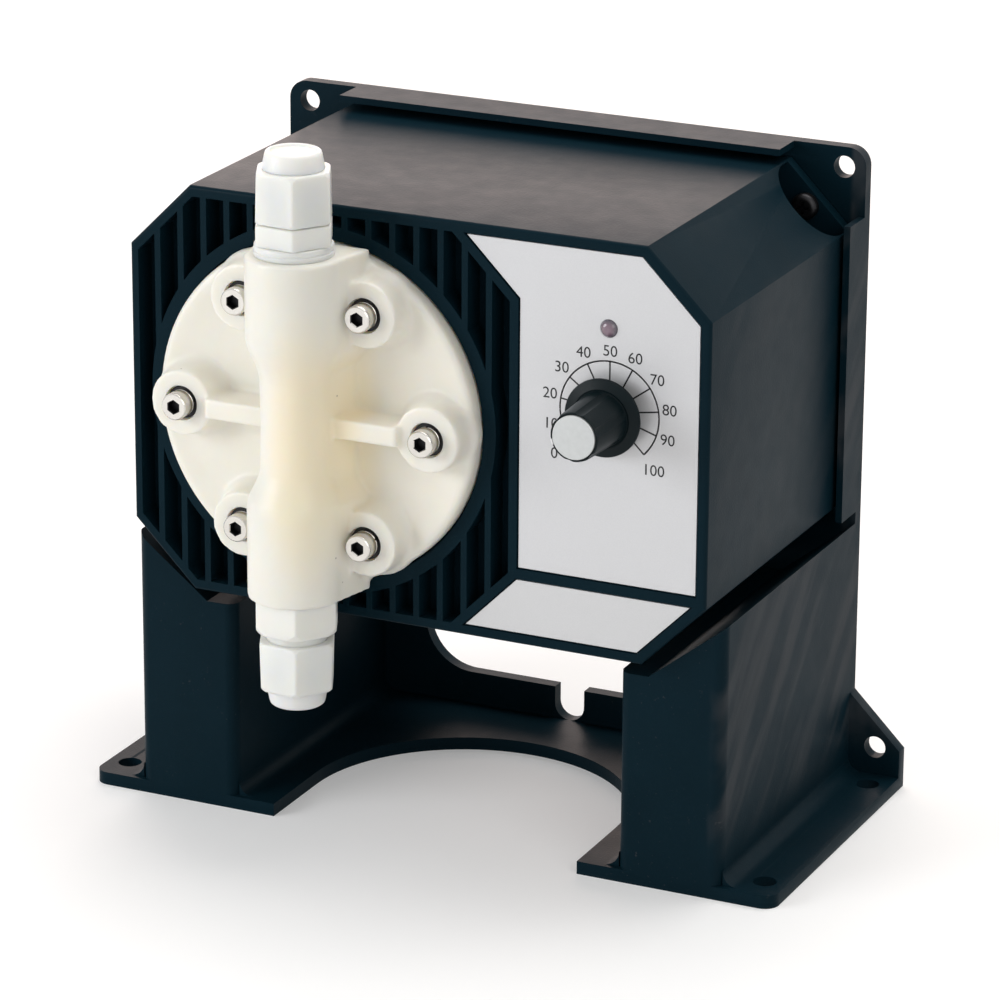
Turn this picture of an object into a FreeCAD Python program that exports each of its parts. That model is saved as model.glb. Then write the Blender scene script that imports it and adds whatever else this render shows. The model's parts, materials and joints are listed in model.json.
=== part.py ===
import FreeCAD, Part
import math
import os

# A diaphragm metering pump on its moulded stand.
# Sizes are in millimetres. X runs to the right, Y towards the wall behind the stand, Z up.
# The origin is the middle of the four floor holes, on the floor.

Vector = FreeCAD.Vector
RIGHT = Vector(1, 0, 0)
BACK = Vector(0, 1, 0)
UP = Vector(0, 0, 1)

# Floor plate of the stand. Its holes lie outside the stand's sides, and it reaches past them by the margins.
FOOT_THICKNESS = 3.5
FOOT_HOLE_REACH = 8.5
FOOT_HOLE_SPAN_Y = 72.0
FOOT_HOLE_RADIUS = 3.1
FOOT_SIDE_MARGIN = 6.0
FOOT_FRONT_MARGIN = 9.0
FOOT_BACK_MARGIN = 11.0
FOOT_CORNER = 4.0
ARCH_MARGIN = 11.0
ARCH_SETBACK = 25.0

# Hollow legs
LEG_WIDTH = 28.5
LEG_GAP = 1.1
LEG_SHELF = 8.0
LEG_RISE = 16.0
LEG_WALL = 2.5
LEG_EDGE_RADIUS = 3.2
LEG_COVE = 4.0

# Wall plate behind the case, its holes and its window
PLATE_THICKNESS = 3.7
PLATE_CORNER = 5.0
EAR_HOLE_MARGIN = 6.0
EAR_HOLE_DROP = 5.3
EAR_HOLE_RADIUS = 2.9
FLANGE_HEIGHT = 25.5
FLANGE_HOLE_MARGIN = 7.0
FLANGE_HOLE_HEIGHT = 11.2
FLANGE_HOLE_RADIUS = 3.0
WINDOW_MARGIN = 12.5
WINDOW_BOTTOM = 12.7
WINDOW_TOP_MARGIN = 4.1
WINDOW_CORNER = 14.0
CABLE_SLOT_X = 1.5
CABLE_SLOT_WIDTH = 8.6

# Rim of the tray which the case stands in
RIM_WALL = 1.8
RIM_DEPTH = 10.0
RIM_SIDE_GAP = 1.2
RIM_TOP_GAP = 2.3
RIM_TOP_MARGIN = 17.0
RIM_SIDE_MARGIN = 14.0

# Case
CASE_BOTTOM = 62.2
CASE_CHAMFER = 17.2
CASE_DEPTH = 93.3
CASE_WALL = 3.0
CASE_EDGE_RADIUS = 1.0
GASKET_THICKNESS = 1.0
GASKET_INSET = 0.5
REAR_POCKET_DEPTH = 28.0

# Scoops at the back corners of the case, with the lugs that its screws hold
SCOOP_RADIUS = 11.7
SCOOP_DEPTH = 9.0
LUG_THICKNESS = 3.5
LUG_SCREW_DEPTH = 4.0

# Grille in the front of the case
GRILLE_SIDE_MARGIN = 3.55
GRILLE_TOP_MARGIN = 2.7
GRILLE_CHAMFER = 15.8
GRILLE_FRAME = 2.3
GRILLE_TOP_FRAME = 2.8
GRILLE_WALL = 9.5
SLOT_PITCH = 6.63
SLOT_WIDTH = 4.95
SLOT_DEPTH = 7.0
SLOT_RING_MARGIN = 4.1

# Fields of the front for the label and the name plate
FIELD_WIDTH = 53.6
FIELD_FRAME = 2.6
FIELD_BAR = 2.3
FIELD_DEPTH = 1.0
FIELD_WALL = 3.2
CROSS_BAR_BOTTOM = 17.4
CROSS_BAR_HEIGHT = 2.6
LABEL_THICKNESS = 0.6
LABEL_GAP = 0.4

# Flow knob and lamp, placed below the top of the case and from the middle of the label
DIAL_DROP = 43.8
LAMP_OFFSET = 0.3
LAMP_DROP = 22.1
LAMP_RADIUS = 2.3
LAMP_FLANGE_RADIUS = 3.0
KNOB_SKIRT_STEP = 0.8
KNOB_SKIRT_HEIGHT = 2.2
KNOB_SKIRT_SLOPE = 0.6
KNOB_TAPER = 0.7
KNOB_RIM = 0.5
KNOB_HEIGHT = 20.5
KNOB_EDGE = 0.4
KNOB_GAP = 0.5
KNOB_FLUTES = 12
KNOB_FLUTE_RADIUS = 1.6
KNOB_FLUTE_DEPTH = 0.4
KNOB_FLUTE_START = 3.7
KNOB_CAP_RADIUS = 5.8
KNOB_CAP_THICKNESS = 1.0
KNOB_CAP_PROUD = 0.5
POINTER_WIDTH = 1.2
POINTER_LENGTH = 3.6
POINTER_DEPTH = 0.6
POINTER_PROUD = 0.1
POINTER_ANGLE = 198.0

# Potentiometer behind the knob
SHAFT_RADIUS = 3.0
SHAFT_END_GAP = 0.5
BUSH_WALL = 1.5
BUSH_PROUD = 0.9
POT_RADIUS = 8.0
POT_DEPTH = 8.0
POT_WALL = 1.5
POT_NUT_WALL = 1.0
POT_NUT_HEIGHT = 2.0

# Circuit board and what stands on it
BOARD_OFFSET = 0.7
BOARD_SIDE_MARGIN = 5.3
BOARD_RISE = 21.8
BOARD_DROP = 20.2
BOARD_THICKNESS = 1.6
BOARD_HOLE_MARGIN = 3.5
BOARD_POST_RADIUS = 3.0
BOARD_SCREW_RADIUS = 1.5
BOARD_SCREW_LENGTH = 6.0
BOARD_SCREW_HEAD = 2.6
CAPACITOR_RADIUS = 7.5
CAPACITOR_LENGTH = 25.0
CAPACITOR_FOOT = 2.0
CAPACITOR_GROOVE_WIDTH = 1.2
CAPACITOR_GROOVE_DEPTH = 0.5
CAPACITOR_EDGE = 1.0
CAPACITOR_GAP = 2.0
SINK_WIDTH = 30.0
SINK_HEIGHT = 24.0
SINK_DEPTH = 18.0
SINK_FINS = 6
SINK_FIN = 1.5
TERMINAL_WIDTH = 30.0
TERMINAL_HEIGHT = 9.0
TERMINAL_DEPTH = 11.0
TERMINAL_STEP = 4.4
TERMINAL_WAYS = 4
TERMINAL_HOLE_RADIUS = 2.25

# Pump head: the dished disc, its screw bosses and the upright valve body
BOSS_MARGIN = 1.0
HEAD_RIM = 6.5
HEAD_EDGE_RADIUS = 2.3
HEAD_DISH = 1.2
HEAD_DISH_SAG = 0.4
HEAD_SEAT_DEPTH = 2.5
HEAD_RECESS_GAP = 0.6
CHAMBER_STEP = 0.5
CHAMBER_DEPTH = 2.7
CHAMBER_SLOPE = 2.0
HEAD_SCREWS = 6
BOSS_RADIUS = 8.9
BOSS_HEIGHT = 6.6
BOSS_DRAFT = 0.3
BOSS_COVE = 3.6
BOSS_POCKET_DEPTH = 1.9
BODY_WALL = 5.1
NECK_RADIUS = 10.8
BODY_REACH = 16.8
BODY_PROUD = 0.3
BULGE_START = 20.0
NECK_START = 14.6
WEB_FLARE = 2.0
WEB_ROOT = 1.0
RIB_HEIGHT = 5.2
RIB_SETBACK = 1.5
RIB_DROP = 1.6
ROOT_DEPTH = 2.0
CHANNEL_RADIUS = 3.0
PORT_OFFSET = 9.0

# Screws and washers
SCREW_RADIUS = 2.0
SCREW_HEAD_RADIUS = 3.5
SCREW_HEAD_HEIGHT = 4.0
SCREW_HEAD_EDGE = 0.4
SCREW_SOCKET = 3.0
SCREW_SOCKET_DEPTH = 2.2
SCREW_END_GAP = 1.5
SPRING_WASHER_HEIGHT = 1.1
SPRING_WASHER_SPLIT = 0.6
FLAT_WASHER_HEIGHT = 0.8
FLAT_WASHER_RADIUS = 4.3
CASE_SCREW_HEAD_HEIGHT = 2.8

# Valve cartridges: seat, ball and guide, alike in both valves
CARTRIDGE_RADIUS = 8.9
SEAT_HEIGHT = 4.0
SEAT_BORE = 3.0
SEAT_CONE_DEPTH = 2.0
BALL_RADIUS = 4.5
BALL_LIFT = 1.5
BALL_PLAY = 0.9
GUIDE_HEIGHT = 11.4
GUIDE_SLOT = 2.0
RING_SECTION = 0.88
RING_MARGIN = 1.4

# Valve fittings, union nuts and blanking plugs
FITTING_SPIGOT = 6.4
FITTING_FLANGE_RADIUS = 11.7
FITTING_FLANGE_HEIGHT = 3.0
FITTING_GROOVE = 0.5
DISCHARGE_COLLAR = 5.5
SUCTION_COLLAR = 9.0
THREAD_RADIUS = 7.8
THREAD_END_GAP = 0.4
UNION_SIDE_WALL = 2.6
UNION_DRAFT = 0.6
UNION_HEIGHT = 13.0
UNION_WALL = 3.2
UNION_LIP = 1.3
VALVE_CORNER_TURN = 25.0
VALVE_CORNER_CUT = 1.44
VALVE_CORNER_CUT_HEIGHT = 2.0
DISCHARGE_UNION_GAP = 0.3
SUCTION_UNION_GAP = 2.4
PLUG_RADIUS = 8.75
PLUG_TAPER = 0.95
PLUG_HEIGHT = 4.6
PLUG_EDGE = 0.9
PLUG_RIM = 1.0
PLUG_DISH = 0.8

# Diaphragm, its support and its core
SUPPORT_EDGE = 5.0
SUPPORT_THICKNESS = 4.0
DIAPHRAGM_MARGIN = 7.5
DIAPHRAGM_CLAMP = 7.0
DIAPHRAGM_THICKNESS = 2.5
DIAPHRAGM_WEB = 1.2
DIAPHRAGM_ROLL = 1.2
DIAPHRAGM_EDGE = 0.5
DIAPHRAGM_WEB_WIDTH = 10.0
HUB_WALL = 3.0
HUB_FRONT = 0.9
HUB_BACK = 5.5
CORE_FLANGE = 2.5
CORE_THICKNESS = 2.0
CORE_STEM_WALL = 1.5
CORE_STEM_REACH = 0.8

# Solenoid which drives the diaphragm
STROKE = 1.25
ARMATURE_END_GAP = 0.45
ROD_RADIUS = 3.0
ROD_INSET = 1.5
ROD_PLAY = 0.04
ROD_BUSH_WALL = 1.5
SOLENOID_PLATE_EDGE = 0.5
SOLENOID_PLATE = 8.0
POLE_STEP = 0.95
POLE_FLANGE_RADIUS = 15.0
POLE_FLANGE = 2.5
POLE_LENGTH = 21.5
SPRING_PLAY = 1.4
SPRING_POCKET_DEPTH = 7.0
SPRING_RADIUS = 6.2
SPRING_WIRE = 0.6
SPRING_WIRE_FLATS = 8
SPRING_TURNS = 4
ARMATURE_RADIUS = 12.45
ARMATURE_PLAY = 0.1
BOBBIN_WALL = 1.5
BOBBIN_EDGE = 1.0
COIL_DEPTH = 12.45
COIL_GAP = 1.5
COIL_LENGTH = 38.0
CAN_WALL = 4.0
CAN_EDGE = 1.0
CAN_FLANGE_EDGE = 3.7
CAN_FLANGE = 3.0
CAN_SCREWS = 3
CAN_SCREW_FIRST = 30.0
CAN_SCREW_HEAD_RADIUS = 3.3
CAN_SCREW_HEAD_HEIGHT = 2.5
REAR_PLUG_RADIUS = 20.0
REAR_PLUG_FLANGE_RADIUS = 23.0
REAR_PLUG_FLANGE = 5.0
REAR_PLUG_POCKET = 6.5
STOP_PAD_THICKNESS = 2.3

# Cable gland under the case
GLAND_Y = 20.0
GLAND_THREAD = 8.0
GLAND_THREAD_PROUD = 1.5
GLAND_BORE = 3.75
GLAND_FLANGE = 4.0
GLAND_SIDE_WALL = 2.0
GLAND_NUT_HEIGHT = 10.0
GLAND_NUT_WALL = 2.5
GLAND_LOCK_NUT = 4.0
GRIP_COUNT = 12
GRIP_RADIUS = 1.2
GRIP_OFFSET = 0.7
GRIP_LENGTH = 6.0

# Clearances between pieces
FIT = 0.05
HOLE_PLAY = 0.3
STOP_GAP = 0.3

# How near an edge must be to a place to count as being there
NEAR = 0.1

# Head and diaphragm, worked out from the push rod outwards
THREAD_HOLE = SCREW_RADIUS + FIT
CLEARANCE_HOLE = SCREW_RADIUS + HOLE_PLAY
ROD_BUSH_RADIUS = ROD_RADIUS + ROD_BUSH_WALL
CORE_STEM_RADIUS = ROD_RADIUS + CORE_STEM_WALL
CORE_RADIUS = CORE_STEM_RADIUS + CORE_FLANGE
HUB_RADIUS = CORE_RADIUS + HUB_WALL
SUPPORT_BORE = HUB_RADIUS + DIAPHRAGM_WEB_WIDTH
CHAMBER_RADIUS = SUPPORT_BORE - CHAMBER_STEP
DIAPHRAGM_RADIUS = SUPPORT_BORE + DIAPHRAGM_CLAMP
HEAD_SCREW_CIRCLE = DIAPHRAGM_RADIUS + DIAPHRAGM_MARGIN
SUPPORT_RADIUS = HEAD_SCREW_CIRCLE + SUPPORT_EDGE
HEAD_RADIUS = HEAD_SCREW_CIRCLE + BOSS_RADIUS + BOSS_MARGIN
BOSS_POCKET_RADIUS = FLAT_WASHER_RADIUS + HOLE_PLAY
BODY_HALF_HEIGHT = HEAD_RADIUS + BODY_PROUD
BODY_RADIUS = CARTRIDGE_RADIUS + BODY_WALL

# Valves
GUIDE_BORE = BALL_RADIUS + BALL_PLAY
RING_RADIUS = CARTRIDGE_RADIUS - RING_MARGIN
RING_HEIGHT = 2 * (RING_SECTION + FIT / 2)
CARTRIDGE_HEIGHT = SEAT_HEIGHT + GUIDE_HEIGHT
VALVE_FLATS = 2 * (THREAD_RADIUS + UNION_SIDE_WALL)
UNION_HOLE = THREAD_RADIUS - UNION_LIP
THREAD_LENGTH = UNION_HEIGHT - UNION_WALL + DISCHARGE_UNION_GAP - THREAD_END_GAP
SUCTION_THREAD_LENGTH = THREAD_LENGTH + SUCTION_UNION_GAP - DISCHARGE_UNION_GAP
PLUG_TIP_RADIUS = PLUG_RADIUS - PLUG_TAPER
PLUG_DISH_RADIUS = PLUG_TIP_RADIUS - PLUG_RIM

# Solenoid, from the armature outwards
POLE_RADIUS = ARMATURE_RADIUS - POLE_STEP
SPRING_POCKET_RADIUS = SPRING_RADIUS + SPRING_WIRE + SPRING_PLAY
STOP_PAD_RADIUS = ARMATURE_RADIUS - FIT
BOBBIN_BORE = ARMATURE_RADIUS + ARMATURE_PLAY
COIL_RADIUS = BOBBIN_BORE + BOBBIN_WALL + COIL_DEPTH
CAN_RADIUS = COIL_RADIUS + COIL_GAP + CAN_WALL
CAN_SCREW_CIRCLE = CAN_RADIUS + CAN_SCREW_HEAD_RADIUS
CAN_FLANGE_RADIUS = CAN_SCREW_CIRCLE + CAN_FLANGE_EDGE
SOLENOID_PLATE_RADIUS = CAN_FLANGE_RADIUS + SOLENOID_PLATE_EDGE

# Knob, potentiometer and cable gland
BUSH_RADIUS = SHAFT_RADIUS + BUSH_WALL
BUSH_REACH = POT_NUT_HEIGHT + BUSH_PROUD
POT_NUT_FLATS = 2 * (BUSH_RADIUS + POT_NUT_WALL)
KNOB_TIP_RADIUS = KNOB_CAP_RADIUS + KNOB_RIM
KNOB_ROOT_RADIUS = KNOB_TIP_RADIUS + KNOB_TAPER
KNOB_SKIRT_RADIUS = KNOB_ROOT_RADIUS + KNOB_SKIRT_STEP
GLAND_NUT_RADIUS = GLAND_THREAD + GLAND_SIDE_WALL
GLAND_FLATS = 2 * GLAND_NUT_RADIUS

# Case round the head and the label, and the stand round the case
SLOT_RING_RADIUS = HEAD_RADIUS + SLOT_RING_MARGIN
GRILLE_WIDTH = 2 * (SLOT_RING_RADIUS + GRILLE_SIDE_MARGIN)
GRILLE_HEIGHT = 2 * (SLOT_RING_RADIUS + GRILLE_TOP_MARGIN)
SLOT_COUNT = round(GRILLE_WIDTH / SLOT_PITCH)
CASE_WIDTH = GRILLE_FRAME + GRILLE_WIDTH + FIELD_WIDTH
CASE_HEIGHT = GRILLE_HEIGHT + 2 * GRILLE_TOP_FRAME
STAND_WIDTH = CASE_WIDTH + 2 * (RIM_SIDE_GAP + RIM_WALL)
LEG_INNER = STAND_WIDTH / 2 - LEG_WIDTH
FOOT_HOLE_SPAN_X = STAND_WIDTH + 2 * FOOT_HOLE_REACH
FOOT_WIDTH = FOOT_HOLE_SPAN_X + 2 * FOOT_SIDE_MARGIN
FLANGE_SLOPE = FOOT_HOLE_REACH + FOOT_SIDE_MARGIN
FLANGE_HOLE_SPAN = FOOT_WIDTH - 2 * FLANGE_HOLE_MARGIN
EAR_HOLE_SPAN = STAND_WIDTH - 2 * EAR_HOLE_MARGIN
ARCH_RADIUS = LEG_INNER - ARCH_MARGIN
WINDOW_WIDTH = 2 * (LEG_INNER - WINDOW_MARGIN)
RIM_TOP_LENGTH = CASE_WIDTH - 2 * RIM_TOP_MARGIN
RIM_SIDE_LENGTH = CASE_HEIGHT - 2 * RIM_SIDE_MARGIN
RIM_BOTTOM = CASE_BOTTOM - RIM_TOP_GAP - RIM_WALL
WINDOW_TOP = RIM_BOTTOM - WINDOW_TOP_MARGIN
LEG_HEIGHT = RIM_BOTTOM - LEG_GAP
LEG_OUTER_HEIGHT = LEG_HEIGHT + LEG_RISE
BOARD_WIDTH = FIELD_WIDTH - 2 * BOARD_SIDE_MARGIN
BOARD_HEIGHT = CASE_HEIGHT - BOARD_RISE - BOARD_DROP

# Places
PLATE_BACK = FOOT_HOLE_SPAN_Y / 2 + FOOT_BACK_MARGIN
PLATE_FRONT = PLATE_BACK - PLATE_THICKNESS
FOOT_FRONT = -FOOT_HOLE_SPAN_Y / 2 - FOOT_FRONT_MARGIN
CASE_BACK = PLATE_FRONT - GASKET_THICKNESS
CASE_FRONT = CASE_BACK - CASE_DEPTH
CASE_MIDDLE = CASE_BOTTOM + CASE_HEIGHT / 2
CASE_TOP = CASE_BOTTOM + CASE_HEIGHT
STAND_TOP = CASE_TOP + RIM_TOP_GAP + RIM_WALL
HEAD_X = -CASE_WIDTH / 2 + GRILLE_FRAME + GRILLE_WIDTH / 2
DIAL_X = CASE_WIDTH / 2 - FIELD_WIDTH / 2
DIAL_Z = CASE_TOP - DIAL_DROP
LAMP_X = DIAL_X - LAMP_OFFSET
LAMP_Z = CASE_TOP - LAMP_DROP
BOARD_LEFT = DIAL_X - BOARD_OFFSET - BOARD_WIDTH / 2
BOARD_BOTTOM = CASE_BOTTOM + BOARD_RISE
FIELD_FLOOR = CASE_FRONT + FIELD_DEPTH
FIELD_BACK = FIELD_FLOOR + FIELD_WALL
LABEL_FRONT = FIELD_FLOOR - LABEL_THICKNESS
HEAD_BACK = CASE_FRONT + HEAD_SEAT_DEPTH
HEAD_FACE = HEAD_BACK - HEAD_RIM
BOSS_FACE = HEAD_FACE - BOSS_HEIGHT
VALVE_Y = HEAD_BACK - BODY_REACH
BODY_TOP = CASE_MIDDLE + BODY_HALF_HEIGHT
BODY_BOTTOM = CASE_MIDDLE - BODY_HALF_HEIGHT
BOARD_FRONT = FIELD_BACK + POT_DEPTH
BOARD_BACK = BOARD_FRONT + BOARD_THICKNESS
SOLENOID_FACE = CASE_FRONT + GRILLE_WALL
POLE_BACK = SOLENOID_FACE + POLE_LENGTH
ARMATURE_FRONT = POLE_BACK + STROKE + ARMATURE_END_GAP
COIL_START = SOLENOID_FACE + SOLENOID_PLATE + POLE_FLANGE
CAN_BACK = COIL_START + 2 * BOBBIN_WALL + COIL_LENGTH
ARMATURE_BACK = CAN_BACK + REAR_PLUG_POCKET - STOP_PAD_THICKNESS - STOP_GAP
ARMATURE_LENGTH = ARMATURE_BACK - ARMATURE_FRONT
ROD_FRONT = HEAD_BACK + HUB_FRONT + ROD_INSET


def prism(points, front, back):
    """A solid whose outline, given as (x, z) points, runs from the front plane to the back plane."""
    corners = [Vector(x, front, z) for x, z in points]
    return Part.Face(Part.makePolygon(corners + corners[:1])).extrude(BACK * (back - front))


def column(points, bottom, height):
    """A solid whose outline, given as (x, y) points, stands on the level called bottom."""
    corners = [Vector(x, y, bottom) for x, y in points]
    return Part.Face(Part.makePolygon(corners + corners[:1])).extrude(UP * height)


def block(x, y, z):
    """A box given by its (low, high) pairs."""
    return Part.makeBox(x[1] - x[0], y[1] - y[0], z[1] - z[0], Vector(x[0], y[0], z[0]))


def rod(radius, start, axis, length):
    return Part.makeCylinder(radius, length, start, axis)


def tube(outer, inner, start, axis, length):
    return rod(outer, start, axis, length).cut(rod(inner, start, axis, length))


def turned(profile, start, axis):
    """A turned piece. The profile is a closed run of (radius, distance along the axis) points.
    A step of four numbers is an arc: a point on the way, then its end."""
    def place(radius, along):
        return start + RIGHT * radius + axis * along

    edges = []
    last = place(*profile[0][-2:])
    for step in profile[1:] + profile[:1]:
        end = place(*step[-2:])
        if len(step) == 4:
            edges.append(Part.Arc(last, place(*step[:2]), end).toShape())
        else:
            edges.append(Part.LineSegment(last, end).toShape())
        last = end
    return Part.Face(Part.Wire(edges)).revolve(start, axis, 360)


def inset(points, distance):
    """An anticlockwise outline with every side moved inwards by the distance."""
    moved = []
    for i, (x, z) in enumerate(points):
        before = points[i - 1]
        after = points[(i + 1) % len(points)]
        one = Vector(before[1] - z, x - before[0], 0).normalize()
        two = Vector(z - after[1], after[0] - x, 0).normalize()
        shift = (one + two) * (distance / (1 + one.dot(two)))
        moved.append((x + shift.x, z + shift.y))
    return moved


def octagon(width, height, chamfer, middle_x, middle_z):
    """A rectangle with cut corners, as anticlockwise (x, z) points."""
    half = width / 2
    rise = height / 2
    quarter = [(half, rise - chamfer), (half - chamfer, rise)]
    left = [(-x, z) for x, z in reversed(quarter)]
    upper = quarter + left
    lower = [(-x, -z) for x, z in upper]
    return [(middle_x + x, middle_z + z) for x, z in upper + lower]


def round_edges(shape, radius, wanted):
    """Rounds the edges that the test picks."""
    return shape.makeFillet(radius, [edge for edge in shape.Edges if wanted(edge)])


def runs_back(edge):
    """Whether an edge runs straight from front to back."""
    return abs(edge.BoundBox.YLength - edge.Length) < NEAR


def runs_up(edge):
    return abs(edge.BoundBox.ZLength - edge.Length) < NEAR


def mirrored(shape):
    return shape.mirror(Vector(0, 0, 0), RIGHT)


def both_sides(shape):
    return [shape, mirrored(shape)]


def around(shape, count, first=0.0):
    """Copies of a shape turned about the head's axis."""
    copies = []
    for i in range(count):
        copy = shape.copy()
        copy.rotate(Vector(HEAD_X, 0, CASE_MIDDLE), BACK, first + 360.0 * i / count)
        copies.append(copy)
    return copies


def on_head(y):
    """The point of the head's axis at the given depth."""
    return Vector(HEAD_X, y, CASE_MIDDLE)


def on_circle(radius, y):
    """The point straight right of the head's axis on a circle round it."""
    return Vector(HEAD_X + radius, y, CASE_MIDDLE)


def hexagon(flats, x, y, turn):
    """A hexagon about a place. One corner is turned by the angle from the second axis's low side."""
    corner = flats / math.sqrt(3)
    angles = [math.radians(turn - 90 + 60 * i) for i in range(6)]
    return [(x + corner * math.cos(a), y + corner * math.sin(a)) for a in angles]


# Outlines which several pieces share


def case_outline(step_in=0.0):
    return inset(octagon(CASE_WIDTH, CASE_HEIGHT, CASE_CHAMFER, 0, CASE_MIDDLE), step_in)


def rear_outline(side, corner):
    """The outline at the back of the case: its sides set in, its cut corners more so, past the scoops."""
    chamfer = CASE_CHAMFER - 2 * side + corner * math.sqrt(2)
    return octagon(CASE_WIDTH - 2 * side, CASE_HEIGHT - 2 * side, chamfer, 0, CASE_MIDDLE)


def grille_outline(step_out=0.0):
    return inset(octagon(GRILLE_WIDTH, GRILLE_HEIGHT, GRILLE_CHAMFER, HEAD_X, CASE_MIDDLE), -step_out)


def front_fields(front, back, gap):
    """The two fields right of the grille: the label's above the cross bar and the name plate's below it."""
    whole = prism(case_outline(FIELD_FRAME + gap), front, back)
    whole = whole.cut(prism(grille_outline(FIELD_BAR + gap), front, back))
    level = CASE_BOTTOM + CROSS_BAR_BOTTOM
    right = (HEAD_X, CASE_WIDTH)
    upper = block(right, (front, back), (level + CROSS_BAR_HEIGHT + gap, CASE_TOP))
    lower = block(right, (front, back), (CASE_BOTTOM, level - gap))
    return largest(whole.common(upper)), largest(whole.common(lower))


def largest(shape):
    return max(shape.Solids, key=lambda solid: solid.Volume)


def corner_places(depth):
    """The (x, z) places at a depth below each cut corner of the case, clockwise from the upper right one."""
    reach_x = CASE_WIDTH / 2 - CASE_CHAMFER / 2 - depth / math.sqrt(2)
    reach_z = CASE_HEIGHT / 2 - CASE_CHAMFER / 2 - depth / math.sqrt(2)
    sides = ((1, 1), (1, -1), (-1, -1), (-1, 1))
    return [(side_x * reach_x, CASE_MIDDLE + side_z * reach_z) for side_x, side_z in sides]


# The stand: floor plate, two hollow legs, wall plate and tray rim in one moulding


def leg_outline():
    inner = LEG_INNER
    outer = STAND_WIDTH / 2
    return [(inner, 0), (outer, 0), (outer, LEG_OUTER_HEIGHT), (inner + LEG_SHELF, LEG_HEIGHT),
            (inner, LEG_HEIGHT)]


def stand_bracket():
    def at_front(edge):
        return runs_up(edge) and edge.CenterOfMass.y < FOOT_FRONT + NEAR

    def at_top(edge):
        return runs_back(edge) and edge.CenterOfMass.z > PLATE_CORNER

    half = FOOT_WIDTH / 2
    floor = block((-half, half), (FOOT_FRONT, PLATE_BACK), (0, FOOT_THICKNESS))
    floor = round_edges(floor, FOOT_CORNER, at_front)

    leg = prism(leg_outline(), FOOT_FRONT, PLATE_BACK)
    leg = round_edges(leg, LEG_EDGE_RADIUS, at_front)
    pocket_outline = inset(leg_outline(), LEG_WALL)
    pocket_outline[0] = (pocket_outline[0][0], FOOT_THICKNESS)
    pocket_outline[1] = (pocket_outline[1][0], FOOT_THICKNESS)
    pocket = prism(pocket_outline, FOOT_FRONT + LEG_WALL, PLATE_BACK)

    side = STAND_WIDTH / 2
    plate = block((-side, side), (PLATE_FRONT, PLATE_BACK), (0, STAND_TOP))
    plate = round_edges(plate, PLATE_CORNER, at_top)
    flange = prism([(0, 0), (half, 0), (half, FLANGE_HEIGHT - FLANGE_SLOPE),
                    (half - FLANGE_SLOPE, FLANGE_HEIGHT), (0, FLANGE_HEIGHT)], PLATE_FRONT, PLATE_BACK)

    stand = floor.fuse([plate] + both_sides(leg) + both_sides(flange) + leg_coves() + tray_rim())

    arch_y = FOOT_FRONT + ARCH_SETBACK
    arch = rod(ARCH_RADIUS, Vector(0, arch_y, 0), UP, FOOT_THICKNESS)
    mouth = block((-ARCH_RADIUS, ARCH_RADIUS), (FOOT_FRONT, arch_y), (0, FOOT_THICKNESS))
    cuts = [arch, mouth, wall_window()] + both_sides(pocket) + stand_holes()
    return stand.cut(cuts).removeSplitter()


def leg_coves():
    """The hollow corners where the legs' long sides run out into the floor plate."""
    coves = []
    for face, outwards in ((STAND_WIDTH / 2, 1), (LEG_INNER, -1)):
        low = Vector(face + outwards * LEG_COVE, FOOT_FRONT + LEG_EDGE_RADIUS / 2, FOOT_THICKNESS)
        high = Vector(face, low.y, FOOT_THICKNESS + LEG_COVE)
        corner = Vector(face, low.y, FOOT_THICKNESS)
        middle = corner + Vector(outwards, 0, 1) * (LEG_COVE * (1 - math.sqrt(0.5)))
        edges = [Part.Arc(low, middle, high).toShape(), Part.LineSegment(high, corner).toShape(),
                 Part.LineSegment(corner, low).toShape()]
        coves += both_sides(Part.Face(Part.Wire(edges)).extrude(BACK * (PLATE_FRONT - low.y)))
    return coves


def tray_rim():
    """The rim round the case, left out at the cut corners where the case screws are."""
    front = PLATE_FRONT - RIM_DEPTH
    half = STAND_WIDTH / 2
    outside = block((-half, half), (front, PLATE_FRONT), (RIM_BOTTOM, STAND_TOP))
    outside = round_edges(outside, PLATE_CORNER, runs_back)
    inner = half - RIM_WALL
    inside = block((-inner, inner), (front, PLATE_FRONT), (RIM_BOTTOM + RIM_WALL, STAND_TOP - RIM_WALL))
    inside = round_edges(inside, PLATE_CORNER - RIM_WALL, runs_back)
    ring = outside.cut(inside)
    side_bottom = CASE_MIDDLE - RIM_SIDE_LENGTH / 2
    kept = [block((-half, half), (front, PLATE_FRONT), (side_bottom, side_bottom + RIM_SIDE_LENGTH)),
            block((-RIM_TOP_LENGTH / 2, RIM_TOP_LENGTH / 2), (front, PLATE_FRONT), (CASE_MIDDLE, STAND_TOP)),
            block((-LEG_INNER, LEG_INNER), (front, PLATE_FRONT), (RIM_BOTTOM, CASE_MIDDLE))]
    parts = []
    for piece in kept:
        parts += ring.common(piece).Solids
    return parts


def wall_window():
    """The window between the legs, with the cable's slot running down from it to the floor plate."""
    def at_bottom(edge):
        return runs_back(edge) and edge.CenterOfMass.z < WINDOW_BOTTOM + NEAR

    half = WINDOW_WIDTH / 2
    window = block((-half, half), (PLATE_FRONT, PLATE_BACK), (WINDOW_BOTTOM, WINDOW_TOP))
    window = round_edges(window, WINDOW_CORNER, at_bottom)
    slot_radius = CABLE_SLOT_WIDTH / 2
    low = FOOT_THICKNESS + slot_radius
    slot = rod(slot_radius, Vector(CABLE_SLOT_X, PLATE_FRONT, low), BACK, PLATE_THICKNESS)
    throat = block((CABLE_SLOT_X - slot_radius, CABLE_SLOT_X + slot_radius), (PLATE_FRONT, PLATE_BACK),
                   (low, WINDOW_BOTTOM + slot_radius))
    return window.fuse([slot, throat])


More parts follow.
